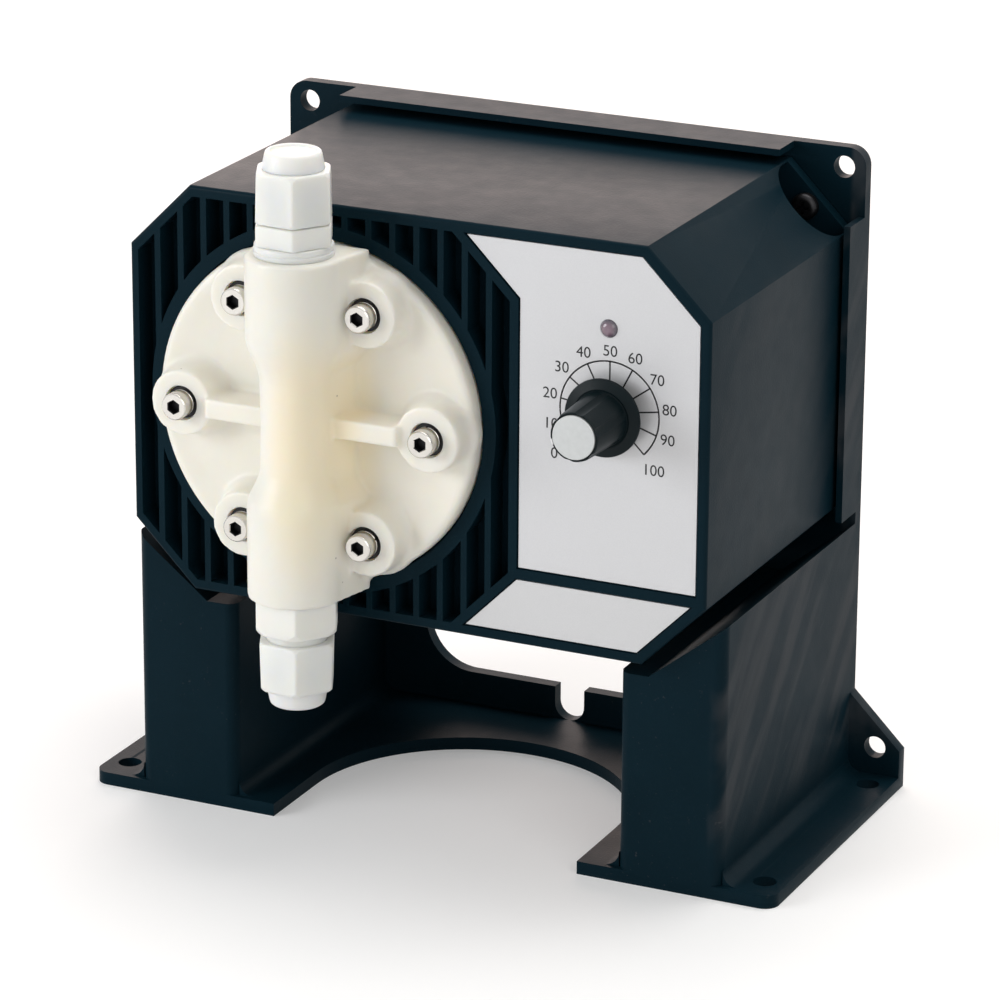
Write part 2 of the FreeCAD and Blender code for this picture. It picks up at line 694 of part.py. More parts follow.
def stand_holes():
    holes = []
    for side in (-1, 1):
        for end in (-1, 1):
            start = Vector(side * FOOT_HOLE_SPAN_X / 2, end * FOOT_HOLE_SPAN_Y / 2, 0)
            holes.append(rod(FOOT_HOLE_RADIUS, start, UP, FOOT_THICKNESS))
        start = Vector(side * EAR_HOLE_SPAN / 2, PLATE_FRONT, STAND_TOP - EAR_HOLE_DROP)
        holes.append(rod(EAR_HOLE_RADIUS, start, BACK, PLATE_THICKNESS))
        start = Vector(side * FLANGE_HOLE_SPAN / 2, PLATE_FRONT, FLANGE_HOLE_HEIGHT)
        holes.append(rod(FLANGE_HOLE_RADIUS, start, BACK, PLATE_THICKNESS))
    for x, z in corner_places(LUG_SCREW_DEPTH):
        holes.append(rod(THREAD_HOLE, Vector(x, PLATE_FRONT, z), BACK, PLATE_THICKNESS))
    return holes


# The case, its gasket and its screws


def case_shell():
    def at_front(edge):
        return edge.CenterOfMass.y < CASE_FRONT + NEAR

    body = prism(case_outline(), CASE_FRONT, CASE_BACK)
    body = round_edges(body, CASE_EDGE_RADIUS, at_front)
    pocket_start = CASE_BACK - REAR_POCKET_DEPTH
    hollow = prism(case_outline(CASE_WALL), FIELD_BACK, pocket_start)
    hollow = hollow.cut(prism(grille_outline(CASE_WALL), FIELD_BACK, SOLENOID_FACE))
    pocket = prism(rear_outline(CASE_WALL, SCOOP_DEPTH + CASE_WALL), pocket_start, CASE_BACK)
    label_field, plate_field = front_fields(CASE_FRONT, FIELD_FLOOR, 0.0)
    cuts = [hollow, pocket, label_field, plate_field]
    cuts += grille_slots() + head_openings() + control_openings() + case_scoops()
    shell = body.cut(cuts)
    return shell.fuse(board_posts()).removeSplitter()


def grille_slots():
    """Upright blind slots, ended by the grille's outline and by the plain ring round the head."""
    field = prism(grille_outline(), CASE_FRONT, CASE_FRONT + SLOT_DEPTH)
    ring = rod(SLOT_RING_RADIUS, on_head(CASE_FRONT), BACK, SLOT_DEPTH)
    slots = []
    for i in range(SLOT_COUNT):
        middle = HEAD_X + (i - (SLOT_COUNT - 1) / 2) * SLOT_PITCH
        strip = block((middle - SLOT_WIDTH / 2, middle + SLOT_WIDTH / 2),
                      (CASE_FRONT, CASE_FRONT + SLOT_DEPTH), (CASE_BOTTOM, CASE_TOP))
        slots += strip.common(field).cut(ring).Solids
    return slots


def head_openings():
    """The stepped seat for the head and its support ring, the diaphragm's bore and the screw holes."""
    recess = rod(HEAD_RADIUS + HEAD_RECESS_GAP, on_head(CASE_FRONT), BACK, HEAD_SEAT_DEPTH)
    support_depth = HEAD_SEAT_DEPTH + SUPPORT_THICKNESS
    support_seat = rod(SUPPORT_RADIUS + HOLE_PLAY, on_head(CASE_FRONT), BACK, support_depth)
    bore = rod(SUPPORT_BORE, on_head(CASE_FRONT), BACK, GRILLE_WALL)
    hole = rod(CLEARANCE_HOLE, on_circle(HEAD_SCREW_CIRCLE, CASE_FRONT), BACK, GRILLE_WALL)
    return [recess, support_seat, bore] + around(hole, HEAD_SCREWS)


def control_openings():
    wall = FIELD_BACK - CASE_FRONT
    bush = rod(BUSH_RADIUS + HOLE_PLAY, Vector(DIAL_X, CASE_FRONT, DIAL_Z), BACK, wall)
    lamp = rod(LAMP_RADIUS + FIT, Vector(LAMP_X, CASE_FRONT, LAMP_Z), BACK, wall)
    gland = rod(GLAND_THREAD + HOLE_PLAY, Vector(CABLE_SLOT_X, GLAND_Y, CASE_BOTTOM), UP, CASE_WALL)
    return [bush, lamp, gland]


def case_scoops():
    """Half-round scoops in the cut corners, open down to the lugs, and the screw holes in the lugs."""
    lug_front = CASE_BACK - LUG_THICKNESS
    middle = lug_front - (LUG_THICKNESS + CASE_SCREW_HEAD_HEIGHT) / 2
    start = Vector(-SCOOP_RADIUS, middle, 0)
    top = Vector(0, middle - SCOOP_RADIUS, 0)
    end = Vector(SCOOP_RADIUS, middle, 0)
    deep_right = Vector(SCOOP_RADIUS, lug_front, 0)
    deep_left = Vector(-SCOOP_RADIUS, lug_front, 0)
    edges = [Part.Arc(start, top, end).toShape()]
    for one, two in ((end, deep_right), (deep_right, deep_left), (deep_left, start)):
        edges.append(Part.LineSegment(one, two).toShape())
    cutter = Part.Face(Part.Wire(edges)).extrude(UP * (SCOOP_DEPTH + 1))
    cuts = []
    for i, (x, z) in enumerate(corner_places(SCOOP_DEPTH)):
        scoop = cutter.copy()
        scoop.rotate(Vector(0, 0, 0), BACK, 45 + 90 * i)
        scoop.translate(Vector(x, 0, z))
        cuts.append(scoop)
    for x, z in corner_places(LUG_SCREW_DEPTH):
        cuts.append(rod(CLEARANCE_HOLE, Vector(x, lug_front, z), BACK, LUG_THICKNESS))
    return cuts


def board_places():
    left = BOARD_LEFT + BOARD_HOLE_MARGIN
    right = BOARD_LEFT + BOARD_WIDTH - BOARD_HOLE_MARGIN
    low = BOARD_BOTTOM + BOARD_HOLE_MARGIN
    high = BOARD_BOTTOM + BOARD_HEIGHT - BOARD_HOLE_MARGIN
    return [(x, z) for x in (left, right) for z in (low, high)]


def board_posts():
    posts = []
    for x, z in board_places():
        post = tube(BOARD_POST_RADIUS, BOARD_SCREW_RADIUS + FIT, Vector(x, FIELD_BACK, z), BACK, POT_DEPTH)
        posts.append(post)
    return posts


def case_gasket():
    outer = prism(rear_outline(GASKET_INSET, SCOOP_DEPTH), CASE_BACK, PLATE_FRONT)
    inner = prism(rear_outline(CASE_WALL, SCOOP_DEPTH + CASE_WALL), CASE_BACK, PLATE_FRONT)
    return outer.cut(inner)


def pan_head_screw(head_radius, head_height, radius, length, start):
    """A screw that points backwards, with a rounded head and a cross recess in its face."""
    crown = head_height * 0.35
    profile = [(0, -head_height), (head_radius * 0.6, -head_height),
               (head_radius * 0.9, -head_height + crown * 0.4, head_radius, -crown),
               (head_radius, 0), (radius, 0), (radius, length), (0, length)]
    screw = turned(profile, start, BACK)
    arm = head_radius * 0.5
    thin = head_radius * 0.13
    depth = (start.y - head_height, start.y - head_height / 2)
    across = block((start.x - arm, start.x + arm), depth, (start.z - thin, start.z + thin))
    upright = block((start.x - thin, start.x + thin), depth, (start.z - arm, start.z + arm))
    return screw.cut([across, upright])


def case_screws():
    length = LUG_THICKNESS + GASKET_THICKNESS + PLATE_THICKNESS - STOP_GAP
    screws = []
    for x, z in corner_places(LUG_SCREW_DEPTH):
        start = Vector(x, CASE_BACK - LUG_THICKNESS, z)
        screws.append(pan_head_screw(SCREW_HEAD_RADIUS, CASE_SCREW_HEAD_HEIGHT, SCREW_RADIUS, length, start))
    return Part.makeCompound(screws)


# Label, name plate, lamp, knob and potentiometer


def control_label():
    sheet = front_fields(LABEL_FRONT, FIELD_FLOOR, LABEL_GAP)[0]
    bush = rod(BUSH_RADIUS + HOLE_PLAY, Vector(DIAL_X, LABEL_FRONT, DIAL_Z), BACK, LABEL_THICKNESS)
    lamp = rod(LAMP_RADIUS + FIT, Vector(LAMP_X, LABEL_FRONT, LAMP_Z), BACK, LABEL_THICKNESS)
    return sheet.cut([bush, lamp])


def name_plate():
    return front_fields(LABEL_FRONT, FIELD_FLOOR, LABEL_GAP)[1]


def pulse_lamp():
    """A domed lamp pushed through the front wall from behind, its flange against the wall."""
    length = BOARD_FRONT - LABEL_FRONT
    wall = FIELD_BACK - LABEL_FRONT
    dome = LAMP_RADIUS / 2
    slant = math.sqrt(0.5)
    profile = [(0, -dome), (LAMP_RADIUS * slant, -dome * slant, LAMP_RADIUS, 0), (LAMP_RADIUS, wall),
               (LAMP_FLANGE_RADIUS, wall), (LAMP_FLANGE_RADIUS, length), (0, length)]
    return turned(profile, Vector(LAMP_X, LABEL_FRONT, LAMP_Z), BACK)


def on_dial(y):
    return Vector(DIAL_X, y, DIAL_Z)


def knob_back():
    return LABEL_FRONT - KNOB_GAP


def control_knob():
    """The fluted knob, hollow below over the bush and its nut, bored for the shaft."""
    tip = KNOB_HEIGHT
    nut_pocket = POT_NUT_FLATS / math.sqrt(3) + HOLE_PLAY
    pocket_depth = BUSH_REACH + STOP_GAP - KNOB_GAP
    cap_seat = tip + KNOB_CAP_PROUD - KNOB_CAP_THICKNESS
    profile = [(SHAFT_RADIUS + FIT, pocket_depth), (nut_pocket, pocket_depth), (nut_pocket, 0),
               (KNOB_SKIRT_RADIUS, 0), (KNOB_SKIRT_RADIUS, KNOB_SKIRT_HEIGHT),
               (KNOB_ROOT_RADIUS, KNOB_SKIRT_HEIGHT + KNOB_SKIRT_SLOPE), (KNOB_TIP_RADIUS, tip - KNOB_EDGE),
               (KNOB_TIP_RADIUS - KNOB_EDGE, tip), (KNOB_CAP_RADIUS + FIT, tip),
               (KNOB_CAP_RADIUS + FIT, cap_seat), (SHAFT_RADIUS + FIT, cap_seat)]
    knob = turned(profile, on_dial(knob_back()), BACK * -1)
    reach = KNOB_ROOT_RADIUS + KNOB_FLUTE_RADIUS - KNOB_FLUTE_DEPTH
    lean = (KNOB_ROOT_RADIUS - KNOB_TIP_RADIUS) / (tip - KNOB_FLUTE_START)
    flutes = []
    for i in range(KNOB_FLUTES):
        angle = math.radians(POINTER_ANGLE + 360.0 * (i + 0.5) / KNOB_FLUTES)
        outwards = Vector(math.cos(angle), 0, math.sin(angle))
        start = on_dial(knob_back() - KNOB_FLUTE_START) + outwards * reach
        flutes.append(rod(KNOB_FLUTE_RADIUS, start, BACK * -1 - outwards * lean, tip))
    return knob.cut(flutes + [pointer_bar()])


def pointer_bar():
    """The bar of the pointer on the knob's front edge and side, at its angle."""
    tip = knob_back() - KNOB_HEIGHT
    bar = block((KNOB_TIP_RADIUS - POINTER_DEPTH, KNOB_SKIRT_RADIUS), (tip, tip + POINTER_LENGTH),
                (-POINTER_WIDTH / 2, POINTER_WIDTH / 2))
    bar.rotate(Vector(0, 0, 0), BACK, -POINTER_ANGLE)
    bar.translate(Vector(DIAL_X, 0, DIAL_Z))
    return bar


def knob_pointer():
    """A white inlay which fills the pointer's groove and stands a hair proud of the knob's side."""
    tip = on_dial(knob_back() - KNOB_HEIGHT)
    outside = turned([(0, 0), (KNOB_TIP_RADIUS + POINTER_PROUD, 0),
                      (KNOB_TIP_RADIUS + 2 * POINTER_PROUD, POINTER_LENGTH), (0, POINTER_LENGTH)], tip, BACK)
    inside = rod(KNOB_CAP_RADIUS + FIT, tip, BACK, POINTER_LENGTH)
    return largest(pointer_bar().common(outside).cut(inside))


def knob_cap():
    front = knob_back() - KNOB_HEIGHT - KNOB_CAP_PROUD
    return rod(KNOB_CAP_RADIUS, on_dial(front), BACK, KNOB_CAP_THICKNESS)


def potentiometer_shaft():
    tip = knob_back() - KNOB_HEIGHT - KNOB_CAP_PROUD + KNOB_CAP_THICKNESS + STOP_GAP
    end = BOARD_FRONT - POT_WALL - SHAFT_END_GAP
    return rod(SHAFT_RADIUS, on_dial(tip), BACK, end - tip)


def potentiometer_body():
    """The threaded bush in front of the wall and the round housing behind it."""
    reach = FIELD_BACK - LABEL_FRONT + BUSH_REACH
    bottom = POT_DEPTH - POT_WALL
    profile = [(SHAFT_RADIUS + FIT, -reach), (BUSH_RADIUS, -reach), (BUSH_RADIUS, 0), (POT_RADIUS, 0),
               (POT_RADIUS, POT_DEPTH), (0, POT_DEPTH), (0, bottom), (SHAFT_RADIUS + FIT, bottom)]
    return turned(profile, on_dial(FIELD_BACK), BACK)


def potentiometer_nut():
    nut = prism(hexagon(POT_NUT_FLATS, DIAL_X, DIAL_Z, 30.0), LABEL_FRONT - POT_NUT_HEIGHT, LABEL_FRONT)
    return nut.cut(rod(BUSH_RADIUS + FIT, on_dial(LABEL_FRONT - POT_NUT_HEIGHT), BACK, POT_NUT_HEIGHT))


# Circuit board and its components


def circuit_board():
    board = block((BOARD_LEFT, BOARD_LEFT + BOARD_WIDTH), (BOARD_FRONT, BOARD_BACK),
                  (BOARD_BOTTOM, BOARD_BOTTOM + BOARD_HEIGHT))
    holes = [rod(BOARD_SCREW_RADIUS + HOLE_PLAY, Vector(x, BOARD_FRONT, z), BACK, BOARD_THICKNESS)
             for x, z in board_places()]
    return board.cut(holes)


def board_screws():
    screws = []
    for x, z in board_places():
        foot = Vector(x, BOARD_BACK, z)
        shank = rod(BOARD_SCREW_RADIUS, foot - BACK * BOARD_SCREW_LENGTH, BACK, BOARD_SCREW_LENGTH)
        head = rod(BOARD_SCREW_HEAD, foot, BACK, BOARD_SCREW_RADIUS)
        screws.append(shank.fuse(head).removeSplitter())
    return Part.makeCompound(screws)


def board_capacitors():
    """Two round capacitors that stand on the back of the board, with a rolled groove at the foot."""
    profile = [(0, 0), (CAPACITOR_RADIUS, 0), (CAPACITOR_RADIUS, CAPACITOR_FOOT),
               (CAPACITOR_RADIUS - CAPACITOR_GROOVE_DEPTH, CAPACITOR_FOOT + CAPACITOR_GROOVE_WIDTH / 2),
               (CAPACITOR_RADIUS, CAPACITOR_FOOT + CAPACITOR_GROOVE_WIDTH),
               (CAPACITOR_RADIUS, CAPACITOR_LENGTH - CAPACITOR_EDGE),
               (CAPACITOR_RADIUS - CAPACITOR_EDGE, CAPACITOR_LENGTH), (0, CAPACITOR_LENGTH)]
    middle = BOARD_LEFT + BOARD_WIDTH / 2
    level = BOARD_BOTTOM + TERMINAL_HEIGHT + 2 * BOARD_HOLE_MARGIN + CAPACITOR_RADIUS
    cans = []
    for side in (-1, 1):
        start = Vector(middle + side * (CAPACITOR_RADIUS + CAPACITOR_GAP / 2), BOARD_BACK, level)
        cans.append(turned(profile, start, BACK))
    return Part.makeCompound(cans)


def board_heat_sink():
    """A comb of upright fins on a flat back."""
    middle = BOARD_LEFT + BOARD_WIDTH / 2
    left = middle - SINK_WIDTH / 2
    low = BOARD_BOTTOM + BOARD_HEIGHT - 2 * BOARD_HOLE_MARGIN - SINK_HEIGHT
    solid = block((left, left + SINK_WIDTH), (BOARD_BACK, BOARD_BACK + SINK_DEPTH), (low, low + SINK_HEIGHT))
    pitch = (SINK_WIDTH - SINK_FIN) / (SINK_FINS - 1)
    gaps = []
    for i in range(SINK_FINS - 1):
        start = left + SINK_FIN + i * pitch
        gaps.append(block((start, start + pitch - SINK_FIN),
                          (BOARD_BACK + 2 * SINK_FIN, BOARD_BACK + SINK_DEPTH), (low, low + SINK_HEIGHT)))
    return solid.cut(gaps)


def terminal_block():
    """The row of screw terminals where the supply cable ends."""
    middle = BOARD_LEFT + BOARD_WIDTH / 2
    left = middle - TERMINAL_WIDTH / 2
    low = BOARD_BOTTOM + 2 * BOARD_HOLE_MARGIN
    edge = BOARD_BACK + TERMINAL_DEPTH - TERMINAL_STEP
    profile = [(BOARD_BACK, low), (BOARD_BACK + TERMINAL_DEPTH, low),
               (BOARD_BACK + TERMINAL_DEPTH, low + TERMINAL_HEIGHT / 2), (edge, low + TERMINAL_HEIGHT),
               (BOARD_BACK, low + TERMINAL_HEIGHT)]
    corners = [Vector(left, y, z) for y, z in profile]
    strip = Part.Face(Part.makePolygon(corners + corners[:1])).extrude(RIGHT * TERMINAL_WIDTH)
    pitch = TERMINAL_WIDTH / TERMINAL_WAYS
    holes = []
    for i in range(TERMINAL_WAYS):
        x = left + (i + 0.5) * pitch
        holes.append(rod(TERMINAL_HOLE_RADIUS, Vector(x, edge, low), UP, TERMINAL_HEIGHT / 2))
    return strip.cut(holes)


# Pump head


def head_silhouette(widen):
    """The valve body's outline seen from the front: wide at both ends, with a neck in the middle."""
    quarter = [(BODY_RADIUS + widen, BODY_HALF_HEIGHT), (BODY_RADIUS + widen, BULGE_START),
               (NECK_RADIUS + widen, NECK_START)]
    right = [(x, -z) for x, z in quarter] + [(x, z) for x, z in reversed(quarter)]
    left = [(-x, -z) for x, z in right]
    return [(HEAD_X + x, CASE_MIDDLE + z) for x, z in right + left]


def valve_body():
    """The upright body: a turned front half, and a web that widens back to the disc."""
    profile = [(0, -BODY_HALF_HEIGHT), (BODY_RADIUS, -BODY_HALF_HEIGHT), (BODY_RADIUS, -BULGE_START),
               (NECK_RADIUS, -NECK_START), (NECK_RADIUS, NECK_START), (BODY_RADIUS, BULGE_START),
               (BODY_RADIUS, BODY_HALF_HEIGHT), (0, BODY_HALF_HEIGHT)]
    front = turned(profile, Vector(HEAD_X, VALVE_Y, CASE_MIDDLE), UP)
    wires = []
    for y, widen in ((VALVE_Y, 0.0), (HEAD_FACE + WEB_ROOT, WEB_FLARE)):
        corners = [Vector(x, y, z) for x, z in head_silhouette(widen)]
        wires.append(Part.makePolygon(corners + corners[:1]))
    return front.fuse(Part.makeLoft(wires, True, True))


def head_disc():
    """The disc, with a rounded edge and a shallow dish inside its rim."""
    rounding = HEAD_EDGE_RADIUS * (1 - math.sqrt(0.5))
    bowl = HEAD_RIM - HEAD_DISH
    profile = [(0, 0), (HEAD_RADIUS, 0), (HEAD_RADIUS, HEAD_RIM - HEAD_EDGE_RADIUS),
               (HEAD_RADIUS - rounding, HEAD_RIM - rounding, HEAD_RADIUS - HEAD_EDGE_RADIUS, HEAD_RIM),
               (HEAD_RADIUS * 0.65, bowl - HEAD_DISH_SAG, HEAD_RADIUS * 0.35, bowl), (0, bowl)]
    return turned(profile, on_head(HEAD_BACK), BACK * -1)


def head_boss():
    """The boss round one screw, on a wide hollow foot that starts inside the disc."""
    height = ROOT_DEPTH + BOSS_HEIGHT
    profile = [(0, 0), (BOSS_RADIUS + BOSS_COVE, 0),
               (BOSS_RADIUS + BOSS_COVE * 0.35, BOSS_COVE * 0.42, BOSS_RADIUS + BOSS_DRAFT, height / 2),
               (BOSS_RADIUS, height), (0, height)]
    boss = turned(profile, on_circle(HEAD_SCREW_CIRCLE, HEAD_FACE + ROOT_DEPTH), BACK * -1)
    return boss.common(rod(HEAD_RADIUS, on_head(BOSS_FACE), BACK, HEAD_RIM + BOSS_HEIGHT))


def head_ribs():
    """One rib each side, from the body down to the boss beside it."""
    inner = NECK_RADIUS - WEB_ROOT
    outer = HEAD_SCREW_CIRCLE - BOSS_RADIUS + WEB_ROOT
    high = VALVE_Y + RIB_SETBACK
    low = high + RIB_DROP
    foot = HEAD_FACE + ROOT_DEPTH
    ribs = []
    for side in (-1, 1):
        points = [(HEAD_X + side * inner, high), (HEAD_X + side * outer, low), (HEAD_X + side * outer, foot),
                  (HEAD_X + side * inner, foot)]
        ribs.append(column(points, CASE_MIDDLE - RIB_HEIGHT / 2, RIB_HEIGHT))
    return ribs


def pump_head():
    head = head_disc().fuse(around(head_boss(), HEAD_SCREWS) + [valve_body()] + head_ribs()).removeSplitter()
    return head.cut(head_bores()).removeSplitter()


def discharge_chamber_floor():
    return BODY_TOP - CARTRIDGE_HEIGHT - RING_HEIGHT - FITTING_SPIGOT


def suction_chamber_roof():
    return BODY_BOTTOM + CARTRIDGE_HEIGHT + RING_HEIGHT + FITTING_SPIGOT


def head_bores():
    """Screw holes with their pockets, the diaphragm's chamber, and the passages up and down to the valves."""
    hole = rod(CLEARANCE_HOLE, on_circle(HEAD_SCREW_CIRCLE, BOSS_FACE), BACK, HEAD_BACK - BOSS_FACE)
    pocket_floor = on_circle(HEAD_SCREW_CIRCLE, BOSS_FACE + BOSS_POCKET_DEPTH)
    pocket = rod(BOSS_POCKET_RADIUS, pocket_floor, BACK * -1, BODY_REACH + BODY_RADIUS)
    chamber = turned([(0, 0), (CHAMBER_RADIUS, 0), (CHAMBER_RADIUS - CHAMBER_SLOPE, CHAMBER_DEPTH),
                      (0, CHAMBER_DEPTH)], on_head(HEAD_BACK), BACK * -1)
    floor = discharge_chamber_floor()
    roof = suction_chamber_roof()
    upper = rod(CARTRIDGE_RADIUS + 2 * FIT, at_valve(floor), UP, BODY_TOP - floor)
    lower = rod(CARTRIDGE_RADIUS + 2 * FIT, at_valve(BODY_BOTTOM), UP, roof - BODY_BOTTOM)
    out_port = CASE_MIDDLE + PORT_OFFSET
    in_port = CASE_MIDDLE - PORT_OFFSET
    upper_way = rod(CHANNEL_RADIUS, at_valve(out_port), UP, floor - out_port)
    lower_way = rod(CHANNEL_RADIUS, at_valve(roof), UP, in_port - roof)
    ports = [rod(CHANNEL_RADIUS, at_valve(z), BACK, HEAD_BACK - VALVE_Y) for z in (out_port, in_port)]
    ways = [upper, lower, upper_way, lower_way] + ports
    return around(hole, HEAD_SCREWS) + around(pocket, HEAD_SCREWS) + [chamber] + ways


def head_screws():
    """Socket head screws, through the head and its support into the solenoid's plate."""
    seat = BOSS_FACE + BOSS_POCKET_DEPTH - FLAT_WASHER_HEIGHT - SPRING_WASHER_HEIGHT
    length = SOLENOID_FACE + SOLENOID_PLATE - SCREW_END_GAP - seat
    profile = [(0, -SCREW_HEAD_HEIGHT), (SCREW_HEAD_RADIUS - SCREW_HEAD_EDGE, -SCREW_HEAD_HEIGHT),
               (SCREW_HEAD_RADIUS, -SCREW_HEAD_HEIGHT + SCREW_HEAD_EDGE), (SCREW_HEAD_RADIUS, 0),
               (SCREW_RADIUS, 0), (SCREW_RADIUS, length), (0, length)]
    start = on_circle(HEAD_SCREW_CIRCLE, seat)
    top = seat - SCREW_HEAD_HEIGHT
    socket = prism(hexagon(SCREW_SOCKET, start.x, start.z, 30.0), top, top + SCREW_SOCKET_DEPTH)
    return Part.makeCompound(around(turned(profile, start, BACK).cut(socket), HEAD_SCREWS))


def head_spring_washers():
    """Split rings under the screw heads."""
    front = BOSS_FACE + BOSS_POCKET_DEPTH - FLAT_WASHER_HEIGHT - SPRING_WASHER_HEIGHT
    start = on_circle(HEAD_SCREW_CIRCLE, front)
    ring = tube(SCREW_HEAD_RADIUS, SCREW_RADIUS + 2 * FIT, start, BACK, SPRING_WASHER_HEIGHT)
    half = SPRING_WASHER_SPLIT / 2
    split = block((start.x - half, start.x + half), (front, front + SPRING_WASHER_HEIGHT),
                  (start.z, start.z + 2 * SCREW_HEAD_RADIUS))
    return Part.makeCompound(around(ring.cut(split), HEAD_SCREWS))


def head_flat_washers():
    front = BOSS_FACE + BOSS_POCKET_DEPTH - FLAT_WASHER_HEIGHT
    ring = tube(FLAT_WASHER_RADIUS, SCREW_RADIUS + 2 * FIT, on_circle(HEAD_SCREW_CIRCLE, front), BACK,
                FLAT_WASHER_HEIGHT)
    return Part.makeCompound(around(ring, HEAD_SCREWS))


# Valves. Each cartridge is a seat, a ball and a guide, stacked upwards.


def at_valve(z):
    return Vector(HEAD_X, VALVE_Y, z)


def ball_height():
    """The ball's centre above the foot of its seat, resting on the 45 degree cone."""
    cone_tip = SEAT_HEIGHT - SEAT_CONE_DEPTH - SEAT_BORE
    return cone_tip + BALL_RADIUS * math.sqrt(2) + FIT


def valve_seat(bottom):
    cone_foot = SEAT_HEIGHT - SEAT_CONE_DEPTH
    profile = [(SEAT_BORE, 0), (CARTRIDGE_RADIUS, 0), (CARTRIDGE_RADIUS, SEAT_HEIGHT),
               (SEAT_BORE + SEAT_CONE_DEPTH, SEAT_HEIGHT), (SEAT_BORE, cone_foot)]
    return turned(profile, at_valve(bottom), UP)


def valve_ball(bottom):
    return Part.makeSphere(BALL_RADIUS, at_valve(bottom + ball_height()))


def valve_guide(bottom):
    """The cage above the seat: a bore for the ball, a stop above it and cross slots past the stop."""
    foot = bottom + SEAT_HEIGHT
    stop = bottom + ball_height() + BALL_RADIUS + BALL_LIFT + STOP_GAP
    guide = rod(CARTRIDGE_RADIUS, at_valve(foot), UP, GUIDE_HEIGHT)
    chamber = rod(GUIDE_BORE, at_valve(foot), UP, stop - foot)
    passage = rod(SEAT_BORE, at_valve(stop), UP, foot + GUIDE_HEIGHT - stop)
    cuts = [chamber, passage]
    for turn in (0, 90):
        slot = block((HEAD_X - GUIDE_BORE, HEAD_X + GUIDE_BORE),
                     (VALVE_Y - GUIDE_SLOT / 2, VALVE_Y + GUIDE_SLOT / 2), (stop, foot + GUIDE_HEIGHT))
        slot.rotate(at_valve(0), UP, turn)
        cuts.append(slot)
    return guide.cut(cuts)


def ring_seal(middle):
    return Part.makeTorus(RING_RADIUS, RING_SECTION, at_valve(middle), UP)


def hex_piece(flats, tip_flats, bottom, height, chamfered_low, chamfered_high):
    """A hexagonal bar between two levels, with its corners turned off at either end."""
    wires = []
    for level, size in ((bottom, flats), (bottom + height, tip_flats)):
        corners = [Vector(x, y, level) for x, y in hexagon(size, HEAD_X, VALVE_Y, VALVE_CORNER_TURN)]
        wires.append(Part.makePolygon(corners + corners[:1]))
    bar = Part.makeLoft(wires, True, True)
    outside = max(flats, tip_flats) / math.sqrt(3) + NEAR
    profile = [(0, 0)]
    if chamfered_low:
        profile += [(outside - VALVE_CORNER_CUT, 0), (outside, VALVE_CORNER_CUT_HEIGHT)]
    else:
        profile.append((outside, 0))
    if chamfered_high:
        profile += [(outside, height - VALVE_CORNER_CUT_HEIGHT), (outside - VALVE_CORNER_CUT, height)]
    else:
        profile.append((outside, height))
    return bar.common(turned(profile + [(0, height)], at_valve(bottom), UP))


def discharge_fitting():
    """Spigot in the head, round flange on it, hexagonal collar and the thread for the union nut."""
    spigot_foot = BODY_TOP - FITTING_SPIGOT
    collar_foot = BODY_TOP + FITTING_FLANGE_HEIGHT
    thread_foot = collar_foot + DISCHARGE_COLLAR
    length = thread_foot + THREAD_LENGTH - spigot_foot
    groove = FITTING_FLANGE_HEIGHT / 2
    flange_profile = [(0, 0), (FITTING_FLANGE_RADIUS, 0),
                      (FITTING_FLANGE_RADIUS, groove - FITTING_GROOVE / 2),
                      (FITTING_FLANGE_RADIUS - FITTING_GROOVE, groove),
                      (FITTING_FLANGE_RADIUS - FITTING_GROOVE / 2, FITTING_FLANGE_HEIGHT),
                      (0, FITTING_FLANGE_HEIGHT)]
    flange = turned(flange_profile, at_valve(BODY_TOP), UP)
    spigot = rod(CARTRIDGE_RADIUS, at_valve(spigot_foot), UP, FITTING_SPIGOT)
    collar = hex_piece(VALVE_FLATS, VALVE_FLATS, collar_foot, DISCHARGE_COLLAR, False, False)
    thread = rod(THREAD_RADIUS, at_valve(thread_foot), UP, THREAD_LENGTH)
    bore = rod(SEAT_BORE, at_valve(spigot_foot), UP, length)
    return spigot.fuse([flange, collar, thread]).removeSplitter().cut(bore)


def suction_fitting():
    """The same below the head, with a longer hexagonal collar and no flange."""
    spigot_top = BODY_BOTTOM + FITTING_SPIGOT
    collar_foot = BODY_BOTTOM - SUCTION_COLLAR
    thread_end = collar_foot - SUCTION_THREAD_LENGTH
    spigot = rod(CARTRIDGE_RADIUS, at_valve(BODY_BOTTOM), UP, FITTING_SPIGOT)
    collar = hex_piece(VALVE_FLATS, VALVE_FLATS, collar_foot, SUCTION_COLLAR, True, False)
    thread = rod(THREAD_RADIUS, at_valve(thread_end), UP, SUCTION_THREAD_LENGTH)
    bore = rod(SEAT_BORE, at_valve(thread_end), UP, spigot_top - thread_end)
    return spigot.fuse([collar, thread]).removeSplitter().cut(bore)


def union_nut(collar_side, direction):
    """The hexagonal union nut, from the collar's side outwards. Direction is 1 upwards and -1 downwards."""
    tip = VALVE_FLATS - UNION_DRAFT
    if direction > 0:
        bottom = collar_side
        nut = hex_piece(VALVE_FLATS, tip, bottom, UNION_HEIGHT, True, True)
    else:
        bottom = collar_side - UNION_HEIGHT
        nut = hex_piece(tip, VALVE_FLATS, bottom, UNION_HEIGHT, True, True)
    axis = UP * direction
    thread = rod(THREAD_RADIUS + 2 * FIT, at_valve(collar_side), axis, UNION_HEIGHT - UNION_WALL)
    hole = rod(UNION_HOLE, at_valve(collar_side), axis, UNION_HEIGHT)
    return nut.cut([thread, hole])


